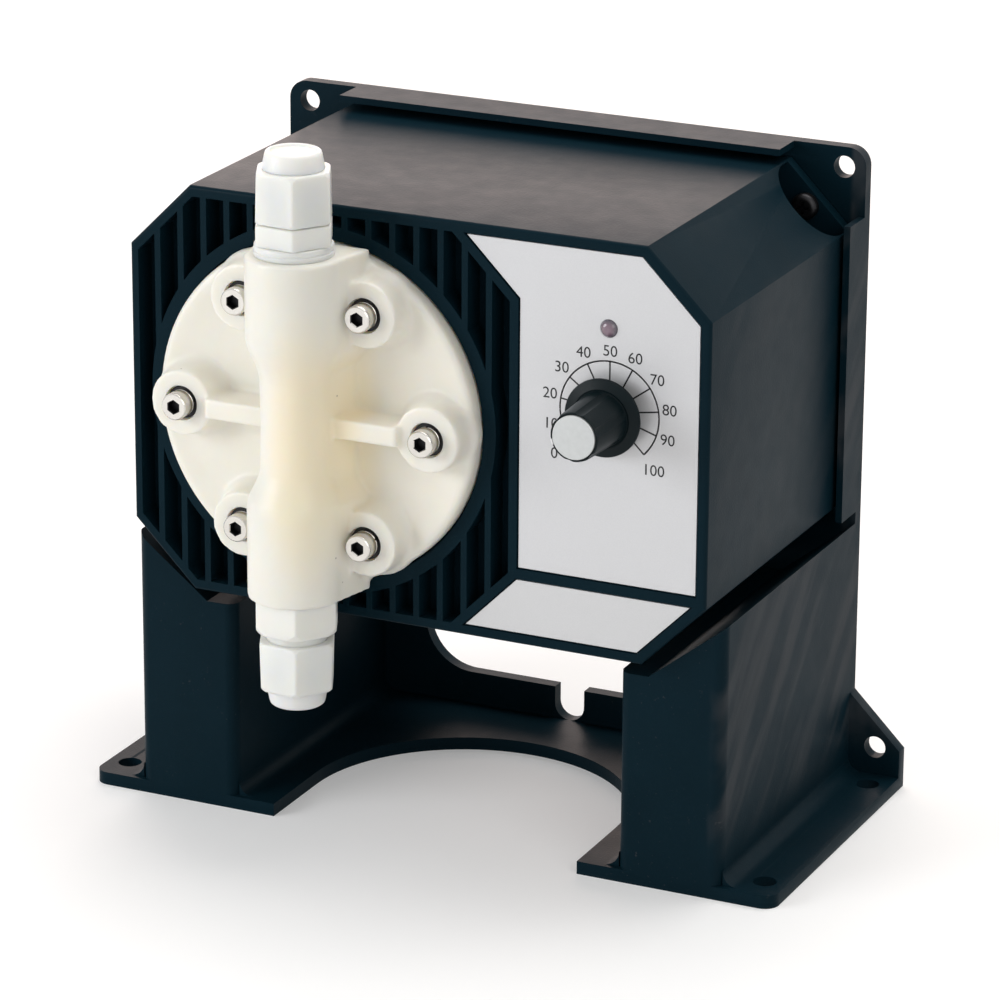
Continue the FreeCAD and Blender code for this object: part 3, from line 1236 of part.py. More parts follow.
def blanking_plug(face, direction):
    """The tapered plug that closes the union nut's hole, dished in its end."""
    rounding = PLUG_EDGE * (1 - math.sqrt(0.5))
    dish_floor = PLUG_HEIGHT - PLUG_DISH
    profile = [(0, -UNION_WALL), (UNION_HOLE - FIT, -UNION_WALL), (UNION_HOLE - FIT, 0), (PLUG_RADIUS, 0),
               (PLUG_TIP_RADIUS, PLUG_HEIGHT - PLUG_EDGE),
               (PLUG_TIP_RADIUS - rounding, PLUG_HEIGHT - rounding, PLUG_TIP_RADIUS - PLUG_EDGE, PLUG_HEIGHT),
               (PLUG_DISH_RADIUS, PLUG_HEIGHT), (PLUG_DISH_RADIUS - PLUG_DISH, dish_floor), (0, dish_floor)]
    return turned(profile, at_valve(face), UP * direction)


# Diaphragm and drive


def diaphragm_support():
    """The ring behind the head which holds the edge of the diaphragm."""
    ring = tube(SUPPORT_RADIUS, SUPPORT_BORE, on_head(HEAD_BACK), BACK, SUPPORT_THICKNESS)
    seat = rod(DIAPHRAGM_RADIUS + HOLE_PLAY, on_head(HEAD_BACK), BACK, DIAPHRAGM_THICKNESS)
    hole = rod(CLEARANCE_HOLE, on_circle(HEAD_SCREW_CIRCLE, HEAD_BACK), BACK, SUPPORT_THICKNESS)
    return ring.cut([seat] + around(hole, HEAD_SCREWS))


def core_profile(stem):
    """The mushroom which the diaphragm is moulded round, from its front face back."""
    neck = HUB_FRONT + CORE_THICKNESS
    return [(0, HUB_FRONT), (CORE_RADIUS, HUB_FRONT), (CORE_RADIUS, neck), (CORE_STEM_RADIUS, neck),
            (CORE_STEM_RADIUS, stem), (0, stem)]


def diaphragm():
    """Clamped edge, rolled thin web and thick hub, with the hollow for its core."""
    edge = SUPPORT_BORE + DIAPHRAGM_EDGE
    web_front = (DIAPHRAGM_THICKNESS - DIAPHRAGM_WEB) / 2
    web_back = web_front + DIAPHRAGM_WEB
    roll = (HUB_RADIUS + SUPPORT_BORE) / 2
    profile = [(0, -HUB_FRONT), (HUB_RADIUS - DIAPHRAGM_EDGE, -HUB_FRONT), (HUB_RADIUS, web_front),
               (roll, web_front + DIAPHRAGM_ROLL, edge, web_front), (edge, 0), (DIAPHRAGM_RADIUS, 0),
               (DIAPHRAGM_RADIUS, DIAPHRAGM_THICKNESS), (edge, DIAPHRAGM_THICKNESS),
               (edge - DIAPHRAGM_EDGE, web_back),
               (roll, web_back + DIAPHRAGM_ROLL, HUB_RADIUS + DIAPHRAGM_EDGE, web_back),
               (HUB_RADIUS, HUB_BACK), (0, HUB_BACK)]
    body = turned(profile, on_head(HEAD_BACK), BACK)
    return body.cut(turned(core_profile(HUB_BACK), on_head(HEAD_BACK), BACK))


def diaphragm_core():
    stem = HUB_BACK + CORE_STEM_REACH
    core = turned(core_profile(stem), on_head(HEAD_BACK), BACK)
    return core.cut(rod(ROD_RADIUS + FIT / 2, on_head(ROD_FRONT), BACK, stem))


def push_rod():
    back = ARMATURE_FRONT + ARMATURE_LENGTH / 2
    return rod(ROD_RADIUS, on_head(ROD_FRONT), BACK, back - ROD_FRONT)


def rod_bush():
    length = POLE_LENGTH - SPRING_POCKET_DEPTH
    return tube(ROD_BUSH_RADIUS, ROD_RADIUS + ROD_PLAY, on_head(SOLENOID_FACE), BACK, length)


def solenoid_plate():
    plate = tube(SOLENOID_PLATE_RADIUS, POLE_RADIUS + FIT, on_head(SOLENOID_FACE), BACK, SOLENOID_PLATE)
    head_hole = rod(THREAD_HOLE, on_circle(HEAD_SCREW_CIRCLE, SOLENOID_FACE), BACK, SOLENOID_PLATE)
    can_hole = rod(THREAD_HOLE, on_circle(CAN_SCREW_CIRCLE, SOLENOID_FACE), BACK, SOLENOID_PLATE)
    return plate.cut(around(head_hole, HEAD_SCREWS) + around(can_hole, CAN_SCREWS, CAN_SCREW_FIRST))


def pole_piece():
    """The fixed core, with a flange behind the plate, a bore for the bush and a pocket for the spring."""
    bush = ROD_BUSH_RADIUS + FIT
    pocket_start = POLE_LENGTH - SPRING_POCKET_DEPTH
    flange_back = SOLENOID_PLATE + POLE_FLANGE
    profile = [(bush, 0), (POLE_RADIUS, 0), (POLE_RADIUS, SOLENOID_PLATE),
               (POLE_FLANGE_RADIUS, SOLENOID_PLATE), (POLE_FLANGE_RADIUS, flange_back),
               (POLE_RADIUS, flange_back), (POLE_RADIUS, POLE_LENGTH), (SPRING_POCKET_RADIUS, POLE_LENGTH),
               (SPRING_POCKET_RADIUS, pocket_start), (bush, pocket_start)]
    return turned(profile, on_head(SOLENOID_FACE), BACK)


def return_spring():
    """A wire, drawn with flats, wound between the bottom of the pole piece's pocket and the armature."""
    start = POLE_BACK - SPRING_POCKET_DEPTH + SPRING_WIRE + FIT
    end = ARMATURE_FRONT - SPRING_WIRE - FIT
    height = end - start
    path = Part.makeHelix(height / SPRING_TURNS, height, SPRING_RADIUS)
    angles = [2 * math.pi * i / SPRING_WIRE_FLATS for i in range(SPRING_WIRE_FLATS)]
    middle = Vector(SPRING_RADIUS, 0, 0)
    corners = [middle + Vector(math.cos(a), 0, math.sin(a)) * SPRING_WIRE for a in angles]
    section = Part.makePolygon(corners + corners[:1])
    wire = Part.Wire(path).makePipeShell([section], True, True)
    wire.rotate(Vector(0, 0, 0), RIGHT, -90)
    wire.translate(on_head(start))
    return wire


def armature():
    body = rod(ARMATURE_RADIUS, on_head(ARMATURE_FRONT), BACK, ARMATURE_LENGTH)
    return body.cut(rod(ROD_RADIUS + FIT / 2, on_head(ARMATURE_FRONT), BACK, ARMATURE_LENGTH / 2))


def coil_bobbin():
    hub = BOBBIN_BORE + BOBBIN_WALL
    flange = COIL_RADIUS + BOBBIN_EDGE
    length = COIL_LENGTH + 2 * BOBBIN_WALL
    profile = [(BOBBIN_BORE, 0), (flange, 0), (flange, BOBBIN_WALL), (hub, BOBBIN_WALL),
               (hub, length - BOBBIN_WALL), (flange, length - BOBBIN_WALL), (flange, length),
               (BOBBIN_BORE, length)]
    return turned(profile, on_head(COIL_START), BACK)


def coil_winding():
    start = on_head(COIL_START + BOBBIN_WALL)
    return tube(COIL_RADIUS, BOBBIN_BORE + BOBBIN_WALL + FIT, start, BACK, COIL_LENGTH)


def solenoid_can():
    """The steel cup over the coil, with a screw flange in front and a bore behind."""
    inner = CAN_RADIUS - CAN_WALL
    front = SOLENOID_FACE + SOLENOID_PLATE
    length = CAN_BACK + CAN_WALL - front
    profile = [(inner, 0), (CAN_FLANGE_RADIUS, 0), (CAN_FLANGE_RADIUS, CAN_FLANGE), (CAN_RADIUS, CAN_FLANGE),
               (CAN_RADIUS, length - CAN_EDGE), (CAN_RADIUS - CAN_EDGE, length),
               (REAR_PLUG_RADIUS + FIT, length),
               (REAR_PLUG_RADIUS + FIT, length - CAN_WALL), (inner, length - CAN_WALL)]
    can = turned(profile, on_head(front), BACK)
    hole = rod(CLEARANCE_HOLE, on_circle(CAN_SCREW_CIRCLE, front), BACK, CAN_FLANGE)
    room = rod(CAN_SCREW_HEAD_RADIUS + HOLE_PLAY, on_circle(CAN_SCREW_CIRCLE, front + CAN_FLANGE), BACK,
               2 * CAN_SCREW_HEAD_HEIGHT)
    return can.cut(around(hole, CAN_SCREWS, CAN_SCREW_FIRST) + around(room, CAN_SCREWS, CAN_SCREW_FIRST))


def solenoid_screws():
    start = on_circle(CAN_SCREW_CIRCLE, SOLENOID_FACE + SOLENOID_PLATE + CAN_FLANGE)
    length = CAN_FLANGE + SOLENOID_PLATE / 2
    shank = rod(SCREW_RADIUS, start - BACK * length, BACK, length)
    head = rod(CAN_SCREW_HEAD_RADIUS, start, BACK, CAN_SCREW_HEAD_HEIGHT)
    return Part.makeCompound(around(shank.fuse(head).removeSplitter(), CAN_SCREWS, CAN_SCREW_FIRST))


def rear_plug():
    """The round plug in the back of the can: it closes the magnetic path and holds the stop pad."""
    pocket = REAR_PLUG_POCKET
    profile = [(BOBBIN_BORE, 0), (REAR_PLUG_RADIUS, 0), (REAR_PLUG_RADIUS, CAN_WALL),
               (REAR_PLUG_FLANGE_RADIUS, CAN_WALL), (REAR_PLUG_FLANGE_RADIUS, CAN_WALL + REAR_PLUG_FLANGE),
               (0, CAN_WALL + REAR_PLUG_FLANGE), (0, pocket), (BOBBIN_BORE, pocket)]
    return turned(profile, on_head(CAN_BACK), BACK)


def stop_pad():
    return rod(STOP_PAD_RADIUS, on_head(ARMATURE_BACK + STOP_GAP), BACK, STOP_PAD_THICKNESS)


# Cable gland under the case


def at_gland(z):
    return Vector(CABLE_SLOT_X, GLAND_Y, z)


def gland_hexagon(flats, bottom, height):
    return column(hexagon(flats, CABLE_SLOT_X, GLAND_Y, 0.0), bottom, height)


def cable_gland():
    """A hexagonal flange under the case, a thread up through its floor and one down for the dome nut."""
    low = CASE_BOTTOM - GLAND_FLANGE - GLAND_NUT_HEIGHT + GLAND_NUT_WALL
    high = CASE_BOTTOM + CASE_WALL + GLAND_LOCK_NUT + GLAND_THREAD_PROUD
    flange = gland_hexagon(GLAND_FLATS, CASE_BOTTOM - GLAND_FLANGE, GLAND_FLANGE)
    thread = rod(GLAND_THREAD, at_gland(low), UP, high - low)
    return thread.fuse(flange).removeSplitter().cut(rod(GLAND_BORE, at_gland(low), UP, high - low))


def gland_nut():
    """The dome nut which closes the gland on a cable."""
    bore = GLAND_THREAD + FIT
    end = GLAND_NUT_HEIGHT
    shoulder = end - GLAND_NUT_WALL + FIT
    top = CASE_BOTTOM - GLAND_FLANGE
    profile = [(bore, 0), (GLAND_NUT_RADIUS, 0), (GLAND_NUT_RADIUS, end * 0.55),
               (GLAND_NUT_RADIUS * 0.92, end * 0.85, GLAND_BORE + GLAND_NUT_WALL, end), (GLAND_BORE, end),
               (GLAND_BORE, shoulder), (bore, shoulder)]
    nut = turned(profile, at_gland(top), UP * -1)
    reach = GLAND_NUT_RADIUS + GRIP_OFFSET
    grips = []
    for i in range(GRIP_COUNT):
        angle = 2 * math.pi * i / GRIP_COUNT
        foot = at_gland(top - GRIP_LENGTH) + Vector(reach * math.cos(angle), reach * math.sin(angle), 0)
        grips.append(rod(GRIP_RADIUS, foot, UP, GRIP_LENGTH))
    return nut.cut(grips)


def gland_lock_nut():
    nut = gland_hexagon(GLAND_FLATS, CASE_BOTTOM + CASE_WALL, GLAND_LOCK_NUT)
    return nut.cut(rod(GLAND_THREAD + FIT, at_gland(CASE_BOTTOM + CASE_WALL), UP, GLAND_LOCK_NUT))


def valve_pieces():
    """Both valves: cartridge, seal ring, fitting, union nut and blanking plug."""
    discharge_foot = discharge_chamber_floor() + RING_HEIGHT
    suction_foot = BODY_BOTTOM + FITTING_SPIGOT
    suction_ring = suction_chamber_roof() - RING_HEIGHT / 2
    union_top = BODY_TOP + FITTING_FLANGE_HEIGHT + DISCHARGE_COLLAR + DISCHARGE_UNION_GAP
    union_low = BODY_BOTTOM - SUCTION_COLLAR - SUCTION_UNION_GAP
    return {
        "discharge_seat": valve_seat(discharge_foot),
        "discharge_ball": valve_ball(discharge_foot),
        "discharge_guide": valve_guide(discharge_foot),
        "discharge_ring": ring_seal(discharge_chamber_floor() + RING_HEIGHT / 2),
        "discharge_fitting": discharge_fitting(),
        "discharge_nut": union_nut(union_top, 1),
        "discharge_plug": blanking_plug(union_top + UNION_HEIGHT, 1),
        "suction_seat": valve_seat(suction_foot),
        "suction_ball": valve_ball(suction_foot),
        "suction_guide": valve_guide(suction_foot),
        "suction_ring": ring_seal(suction_ring),
        "suction_fitting": suction_fitting(),
        "suction_nut": union_nut(union_low, -1),
        "suction_plug": blanking_plug(union_low - UNION_HEIGHT, -1),
    }


PIECES = [stand_bracket, case_shell, case_gasket, case_screws, control_label, name_plate, pulse_lamp,
          control_knob, knob_pointer, knob_cap, potentiometer_shaft, potentiometer_body,
          potentiometer_nut, circuit_board, board_screws, board_capacitors, board_heat_sink,
          terminal_block, pump_head, head_screws, head_spring_washers, head_flat_washers,
          diaphragm_support, diaphragm, diaphragm_core, push_rod, rod_bush, solenoid_plate, pole_piece,
          return_spring, armature, coil_bobbin, coil_winding, solenoid_can, solenoid_screws, rear_plug,
          stop_pad, cable_gland, gland_nut, gland_lock_nut]


def main():
    os.makedirs("parts", exist_ok=True)
    shapes = {piece.__name__: piece() for piece in PIECES}
    shapes.update(valve_pieces())
    for name, shape in shapes.items():
        if shape.Volume < 0:
            shape.reverse()
        shape.exportStep("parts/" + name + ".step")
        print(name, "solids", len(shape.Solids), "valid", shape.isValid(), "volume", round(shape.Volume, 1))


main()
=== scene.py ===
# %% [markdown]
# # A diaphragm metering pump
#
# The pump is a dark moulded case in a moulded stand. A translucent pump head with upright check
# valves sits on its slotted left side, and a dial with a knob on its right side. The solids come
# from the CAD part and say where everything is. This lesson gives them their looks: what a moulding,
# a turned screw and a printed dial look like close up, and how each is made by hand in Blender.

# %% Load the frame
import json
import math

import bpy
from mathutils import Matrix, Vector


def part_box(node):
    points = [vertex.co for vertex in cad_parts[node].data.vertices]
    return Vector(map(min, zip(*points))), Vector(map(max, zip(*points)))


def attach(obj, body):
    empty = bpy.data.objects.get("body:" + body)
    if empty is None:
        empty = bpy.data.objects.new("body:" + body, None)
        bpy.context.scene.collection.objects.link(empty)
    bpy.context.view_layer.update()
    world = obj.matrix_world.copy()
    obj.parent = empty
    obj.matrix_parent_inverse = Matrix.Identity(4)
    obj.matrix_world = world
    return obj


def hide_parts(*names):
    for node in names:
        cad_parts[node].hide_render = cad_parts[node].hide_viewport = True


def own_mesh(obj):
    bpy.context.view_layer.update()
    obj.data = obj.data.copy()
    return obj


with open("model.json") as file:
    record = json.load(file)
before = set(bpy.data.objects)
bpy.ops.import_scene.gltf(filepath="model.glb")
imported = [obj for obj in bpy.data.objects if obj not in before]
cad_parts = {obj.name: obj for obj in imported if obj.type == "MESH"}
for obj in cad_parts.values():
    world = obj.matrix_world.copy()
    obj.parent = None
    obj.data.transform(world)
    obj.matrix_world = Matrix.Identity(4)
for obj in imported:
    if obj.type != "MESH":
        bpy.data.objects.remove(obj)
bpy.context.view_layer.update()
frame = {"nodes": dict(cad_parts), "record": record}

# %% [markdown]
# ## Sizes and places
#
# Blender works in metres here, and the pump is drawn in millimetres. Typing metres everywhere would
# bury each size in zeros, so one short helper turns millimetres into metres. The places that many
# pieces share are named once: the axis of the pump head, the axis of the check valves, the dial, and
# the faces that pieces stand on.

# %% Directions and shared places, in millimetres
BACK, UP = Vector((0, 1, 0)), Vector((0, 0, 1))
FORWARD, DOWN = -BACK, -UP
HEAD_X, HEAD_Z = -25.65, 116.2
HEAD_BACK, HEAD_FACE, BOSS_FACE = -48.5, -55.0, -61.6
SCREW_CIRCLE = 34.5
VALVE_Y = -65.3
BODY_TOP, BODY_BOTTOM = 160.9, 71.5
DIAL_X, DIAL_Z = 53.2, 126.4
LABEL_FRONT = -50.6
print("head axis", (HEAD_X, HEAD_Z), "valve axis", (HEAD_X, VALVE_Y), "dial", (DIAL_X, DIAL_Z))


# %% Millimetres as metres
def mm(*values):
    """One number, or a vector of three."""
    metres = [value * 0.001 for value in values]
    return metres[0] if len(metres) == 1 else Vector(metres)


print("the valve body is", round(mm(BODY_TOP - BODY_BOTTOM), 4), "m high")

# %% [markdown]
# ## Turning a profile
#
# Most round pieces of the pump are turned or moulded round an axis. Spinning an outline would do, but
# leaves a seam to close. Here a circle is laid down, extruded a step up, and scaled to the next
# radius, again and again along the profile, so the rings stay whole. A ring's profile comes back to
# where it began, and the two seams are merged there.


# %% Turned pieces
def pick_only(*pieces):
    """Everything else is deselected, because an operator acts on all that is selected."""
    bpy.ops.object.select_all(action="DESELECT")
    for piece in pieces:
        piece.select_set(True)
    bpy.context.view_layer.objects.active = pieces[0]


def turned(name, profile, sides=64, ring=False):
    """A turned piece on the Z axis, from (radius, height) points in mm."""
    bpy.ops.object.select_all(action="DESELECT")
    radius, height = profile[0]
    fill = "NOTHING" if ring else "NGON"
    bpy.ops.mesh.primitive_circle_add(vertices=sides, radius=mm(radius), fill_type=fill)
    piece = bpy.context.object
    piece.name = piece.data.name = name
    bpy.ops.object.mode_set(mode="EDIT")
    bpy.ops.mesh.select_all(action="SELECT")
    bpy.ops.transform.translate(value=mm(0, 0, height))
    steps = profile[1:] + (profile[:1] if ring else [])
    for next_radius, next_height in steps:
        rise = mm(0, 0, next_height - height)
        bpy.ops.mesh.extrude_region_move(TRANSFORM_OT_translate={"value": rise})
        grow = next_radius / radius
        bpy.ops.transform.resize(value=(grow, grow, 1), center_override=mm(0, 0, next_height))
        radius, height = next_radius, next_height
    bpy.ops.mesh.select_all(action="SELECT")
    bpy.ops.mesh.remove_doubles(threshold=mm(0.001))
    bpy.ops.mesh.normals_make_consistent(inside=False)
    bpy.ops.object.mode_set(mode="OBJECT")
    return piece


# %% [markdown]
# ## Putting a piece in its place
#
# A piece is easiest to make on the Z axis, and then has to face forward or down. Its object could
# keep that turn, but a pattern on object coordinates would then turn with it. So the turn and the
# move are applied to the mesh, and the object is left at the origin like the CAD nodes.


# %% Placing
def put(piece, x, y, z, facing=UP, turn=0.0):
    """Turns a piece made on the Z axis to face a direction, and moves it to its place in mm."""
    spin = Matrix.Rotation(math.radians(turn), 4, "Z")
    if facing == FORWARD:
        tilt = Matrix.Rotation(math.radians(90), 4, "X")
    elif facing == DOWN:
        tilt = Matrix.Rotation(math.radians(180), 4, "X")
    else:
        tilt = Matrix.Identity(4)
    piece.matrix_world = Matrix.Translation(mm(x, y, z)) @ tilt @ spin
    pick_only(piece)
    bpy.ops.object.transform_apply(location=True, rotation=True, scale=True)
    return piece


def bar(name, x, y, z):
    """A box from its (low, high) limits in mm along each axis."""
    bpy.ops.object.select_all(action="DESELECT")
    centre = [(low + high) / 2 for low, high in (x, y, z)]
    bpy.ops.mesh.primitive_cube_add(size=1, location=mm(*centre))
    piece = bpy.context.object
    piece.name = piece.data.name = name
    piece.scale = mm(*[high - low for low, high in (x, y, z)])
    bpy.ops.object.transform_apply(location=True, rotation=True, scale=True)
    return piece


# %% [markdown]
# ## Cutting, rounding and copying
#
# A bore, a slot or a flute is what a cutter leaves, so it is made as one: a tool is laid over the
# piece, and a Boolean modifier takes it away. Every modifier is applied at once, because the next
# step works on its result. What repeats round the head is modelled once and copied.


# %% Modifiers and cutters
def modified(piece, kind, **settings):
    """Adds a modifier, sets it, and applies it."""
    pick_only(piece)
    modifier = piece.modifiers.new(kind.title(), kind)
    for key, value in settings.items():
        setattr(modifier, key, value)
    bpy.ops.object.modifier_apply(modifier=modifier.name)
    return piece


def boolean(piece, tool, operation):
    modified(piece, "BOOLEAN", object=tool, operation=operation, solver="EXACT")
    bpy.data.objects.remove(tool)
    return piece


def cut(piece, *tools):
    for tool in tools:
        boolean(piece, tool, "DIFFERENCE")
    return piece


def rounded(piece, width, segments=2, angle=35):
    return modified(piece, "BEVEL", width=mm(width), segments=segments, limit_method="ANGLE",
                    angle_limit=math.radians(angle), use_clamp_overlap=True)


# %% Copies
def copied(piece):
    twin = bpy.data.objects.new(piece.name, piece.data.copy())
    bpy.context.scene.collection.objects.link(twin)
    return twin


def joined(name, pieces):
    pick_only(*pieces)
    bpy.ops.object.join()
    piece = bpy.context.object
    piece.name = piece.data.name = name
    return piece


def around_head(piece, count=6):
    """Copies of a piece that stands right of the head's axis, turned round that axis."""
    centre = mm(HEAD_X, 0, HEAD_Z)
    copies = [piece]
    for step in range(1, count):
        twin = copied(piece)
        turn = Matrix.Rotation(math.tau * step / count, 4, "Y")
        twin.data.transform(Matrix.Translation(centre) @ turn @ Matrix.Translation(-centre))
        copies.append(twin)
    return copies


# %% [markdown]
# ## The camera
#
# The photograph's straight edges say where its camera stood: a little above the pump, to the right
# of its front, and far off with a long lens, so that the uprights stay nearly parallel. A camera
# that is aimed at a target has no roll. This one is built from its place and its view direction, so
# that it can have the small roll that the picture has.

# %% Camera
LENS, SENSOR = 177.23, 36.0
ROLL = 0.0064
sight = Vector((-0.3995, 0.8571, -0.3253)).normalized()
level = sight.cross(UP).normalized()
above = level.cross(sight)
across = level * math.cos(ROLL) + above * math.sin(ROLL)
upward = above * math.cos(ROLL) - level * math.sin(ROLL)
bpy.ops.object.camera_add()
camera = bpy.context.object
camera.data.lens = LENS
camera.data.sensor_width = SENSOR
camera.data.clip_end = 20
axes = Matrix((across, upward, -sight)).transposed().to_4x4()
camera.matrix_world = Matrix.Translation(mm(513.7, -1101.4, 498.4)) @ axes
bpy.context.scene.camera = camera
bpy.context.scene.view_settings.view_transform = "Standard"
print("camera", round(camera.location.length, 2), "m from the origin, lens", LENS, "mm")

# %% [markdown]
# ## Shader maths
#
# A finish is a small sum: a colour, times a little unevenness, plus some wear. Writing that sum in
# Python is easier to read than a web of nodes. A wrapped socket knows how to add, multiply and
# divide, and each sign adds its own Math node.


# %% Sockets that take part in sums
class Signal:
    """One output socket of a node tree."""

    def __init__(self, nodes, socket):
        self.nodes, self.socket = nodes, socket

    def sum(self, operation, one, other):
        return self.nodes.add("ShaderNodeMath", "Value", {"operation": operation}, {0: one, 1: other})

    def __add__(self, other):
        return self.sum("ADD", self, other)

    def __sub__(self, other):
        return self.sum("SUBTRACT", self, other)

    def __rsub__(self, other):
        return self.sum("SUBTRACT", other, self)

    def __mul__(self, other):
        return self.sum("MULTIPLY", self, other)

    def __truediv__(self, other):
        return self.sum("DIVIDE", self, other)

    __radd__, __rmul__ = __add__, __mul__

    def ramp(self, low, high):
        """0 below low, 1 above high, and smooth between them."""
        settings = {"interpolation_type": "SMOOTHSTEP"}
        sockets = {"Value": self, "From Min": low, "From Max": high}
        return self.nodes.add("ShaderNodeMapRange", "Result", settings, sockets)


# %% [markdown]
# ## One way to add a node
#
# Every other node comes from one method. It takes the node's type, the output that is wanted, the
# settings, which come first because they can change the sockets, and the values or links of its
# sockets. Materials and the world share it.


# %% A node tree
class Nodes:
    """A node tree that nodes are added to."""

    def __init__(self, tree):
        self.tree = tree

    def set(self, socket, value):
        if isinstance(value, Signal):
            self.tree.links.new(value.socket, socket)
        else:
            socket.default_value = value

    def add(self, kind, output, settings, sockets):
        node = self.tree.nodes.new(kind)
        for key, value in settings.items():
            setattr(node, key, value)
        for key, value in sockets.items():
            self.set(node.inputs[key], value)
        return Signal(self, node.outputs[output])

    def white_rays(self):
        """1 for a ray that only looks at a surface, mirrors it or passes through to it."""
        kinds = ("Is Camera Ray", "Is Glossy Ray", "Is Transmission Ray")
        camera, glossy, transmission = [self.add("ShaderNodeLightPath", kind, {}, {}) for kind in kinds]
        return camera + glossy + transmission


# %% A finish
class Finish(Nodes):
    """A material and its nodes. Constants go straight to the shader's own sockets."""

    def __init__(self, name, **constants):
        self.material = bpy.data.materials.new(name)
        self.material.use_nodes = True
        super().__init__(self.material.node_tree)
        self.shader = self.tree.nodes["Principled BSDF"]
        for socket, value in constants.items():
            self.shader.inputs[socket.replace("_", " ")].default_value = value
        self.place = self.add("ShaderNodeTexCoord", "Object", {}, {})

    def give(self, socket, value):
        self.set(self.shader.inputs[socket], value)

    def noise(self, size_mm, detail=2.0, place=None):
        """Cloudy unevenness with lumps about size_mm across."""
        sockets = {"Vector": place or self.place, "Scale": 1 / mm(size_mm), "Detail": detail}
        return self.add("ShaderNodeTexNoise", "Fac", {}, sockets)

    def stretched(self, x, y, z):
        """Object coordinates, longer or shorter along each axis."""
        sockets = {"Vector": self.place, "Scale": (x, y, z)}
        return self.add("ShaderNodeMapping", "Vector", {"vector_type": "POINT"}, sockets)

    def slanted(self, degrees, along, across):
        """Object coordinates turned about X, then drawn out, for streaks that climb to the back."""
        sockets = {"Vector": self.place, "Rotation": (math.radians(degrees), 0, 0),
                   "Scale": (across, along, across)}
        return self.add("ShaderNodeMapping", "Vector", {"vector_type": "TEXTURE"}, sockets)

    def along(self, axis):
        return self.add("ShaderNodeSeparateXYZ", axis, {}, {"Vector": self.place})

    def blend(self, mask, one, other):
        """One colour where the mask is 0, and the other where it is 1."""
        return self.add("ShaderNodeMix", 2, {"data_type": "RGBA"}, {0: mask, 6: one, 7: other})

    def bump(self, height, depth_mm):
        sockets = {"Height": height, "Distance": mm(depth_mm), "Strength": 1.0}
        self.give("Normal", self.add("ShaderNodeBump", "Normal", {}, sockets))


def shade(colour, amount):
    """A colour made lighter or darker, with its alpha kept."""
    return (*[channel * amount for channel in colour], 1.0)


# %% [markdown]
# ## The mouldings' finish
#
# The case and the stand are moulded in a blue-black plastic. The mould was etched, so the surface
# has a fine grain that spreads the light, and the grain is a very small bump. Handling has left pale
# smears on the right leg, which slant up to the back, and fine scratches in patches. They could be
# painted on an image, but noise that is drawn out along a slanted axis gives the same streaks.


# %% Smears and scratches
def wear(finish):
    """Smears on the outside of the right leg, and scratches in patches all over."""
    smears = finish.noise(9, 2.0, finish.slanted(48, 7.0, 1.0)).ramp(0.42, 0.66)
    outside = finish.along("X").ramp(mm(78.5), mm(80)) * finish.along("Y").ramp(mm(-46.5), mm(-43))
    outside = outside * finish.along("Z").ramp(mm(8), mm(22))
    scratches = finish.noise(0.9, 3.0, finish.slanted(30, 9.0, 1.0)).ramp(0.66, 0.76)
    patches = finish.noise(40, 2.0).ramp(0.45, 0.65)
    return smears * outside * 0.13 + scratches * patches * 0.10


# %% Moulded plastic
def moulded(name, colour, roughness, grain_mm, depth_mm, mottle=0.15, scuffs=0.0, **constants):
    finish = Finish(name, **constants)
    cloud = finish.noise(18, 3.0)
    tone = finish.blend(cloud, shade(colour, 1 - mottle), shade(colour, 1 + mottle))
    rough = roughness + (finish.noise(6, 3.0) - 0.5) * 0.12
    if scuffs:
        mask = wear(finish) * scuffs
        tone = finish.blend(mask, tone, shade((0.24, 0.22, 0.22), 1))
        rough = rough + mask * 0.3
    finish.give("Base Color", tone)
    finish.give("Roughness", rough)
    finish.bump(finish.noise(grain_mm, 1.0), depth_mm)
    return finish.material


# %% [markdown]
# ## The dark plastics and rubbers
#
# A dark plastic shows its form by reflection, so its colour hardly changes over the surface, and how
# strongly it mirrors matters more than its colour. The case and the stand mirror very little. The
# knob mirrors a little more, and the inner pieces have the plain gloss of their kind.

# %% Plastics and rubbers
NAVY, DULL = (0.003, 0.014, 0.0215), 0.04
finishes = {
    "stand_plastic": moulded("stand_plastic", NAVY, 0.42, 0.5, 0.045, scuffs=0.9, Specular_IOR_Level=DULL),
    "case_plastic": moulded("case_plastic", NAVY, 0.40, 0.5, 0.045, scuffs=0.15, Specular_IOR_Level=DULL),
    "support_plastic": moulded("support_plastic", (0.02, 0.02, 0.022), 0.5, 0.6, 0.03),
    "knob_plastic": moulded("knob_plastic", (0.002, 0.007, 0.009), 0.36, 0.6, 0.015,
                            Specular_IOR_Level=0.14),
    "gland_plastic": moulded("gland_plastic", (0.012, 0.012, 0.014), 0.4, 0.5, 0.02),
    "bobbin_plastic": moulded("bobbin_plastic", (0.03, 0.03, 0.032), 0.5, 0.8, 0.04),
    "terminal_plastic": moulded("terminal_plastic", (0.03, 0.16, 0.06), 0.4, 0.7, 0.02),
    "gasket_rubber": moulded("gasket_rubber", (0.012, 0.012, 0.012), 0.65, 0.7, 0.03),
    "seal_rubber": moulded("seal_rubber", (0.01, 0.01, 0.01), 0.45, 0.7, 0.02),
    "pointer_white": moulded("pointer_white", (0.82, 0.82, 0.82), 0.45, 0.6, 0.01, mottle=0.04),
    "capacitor_sleeve": moulded("capacitor_sleeve", (0.02, 0.02, 0.05), 0.25, 4.0, 0.02),
}
print(len(finishes), "plastics and rubbers")

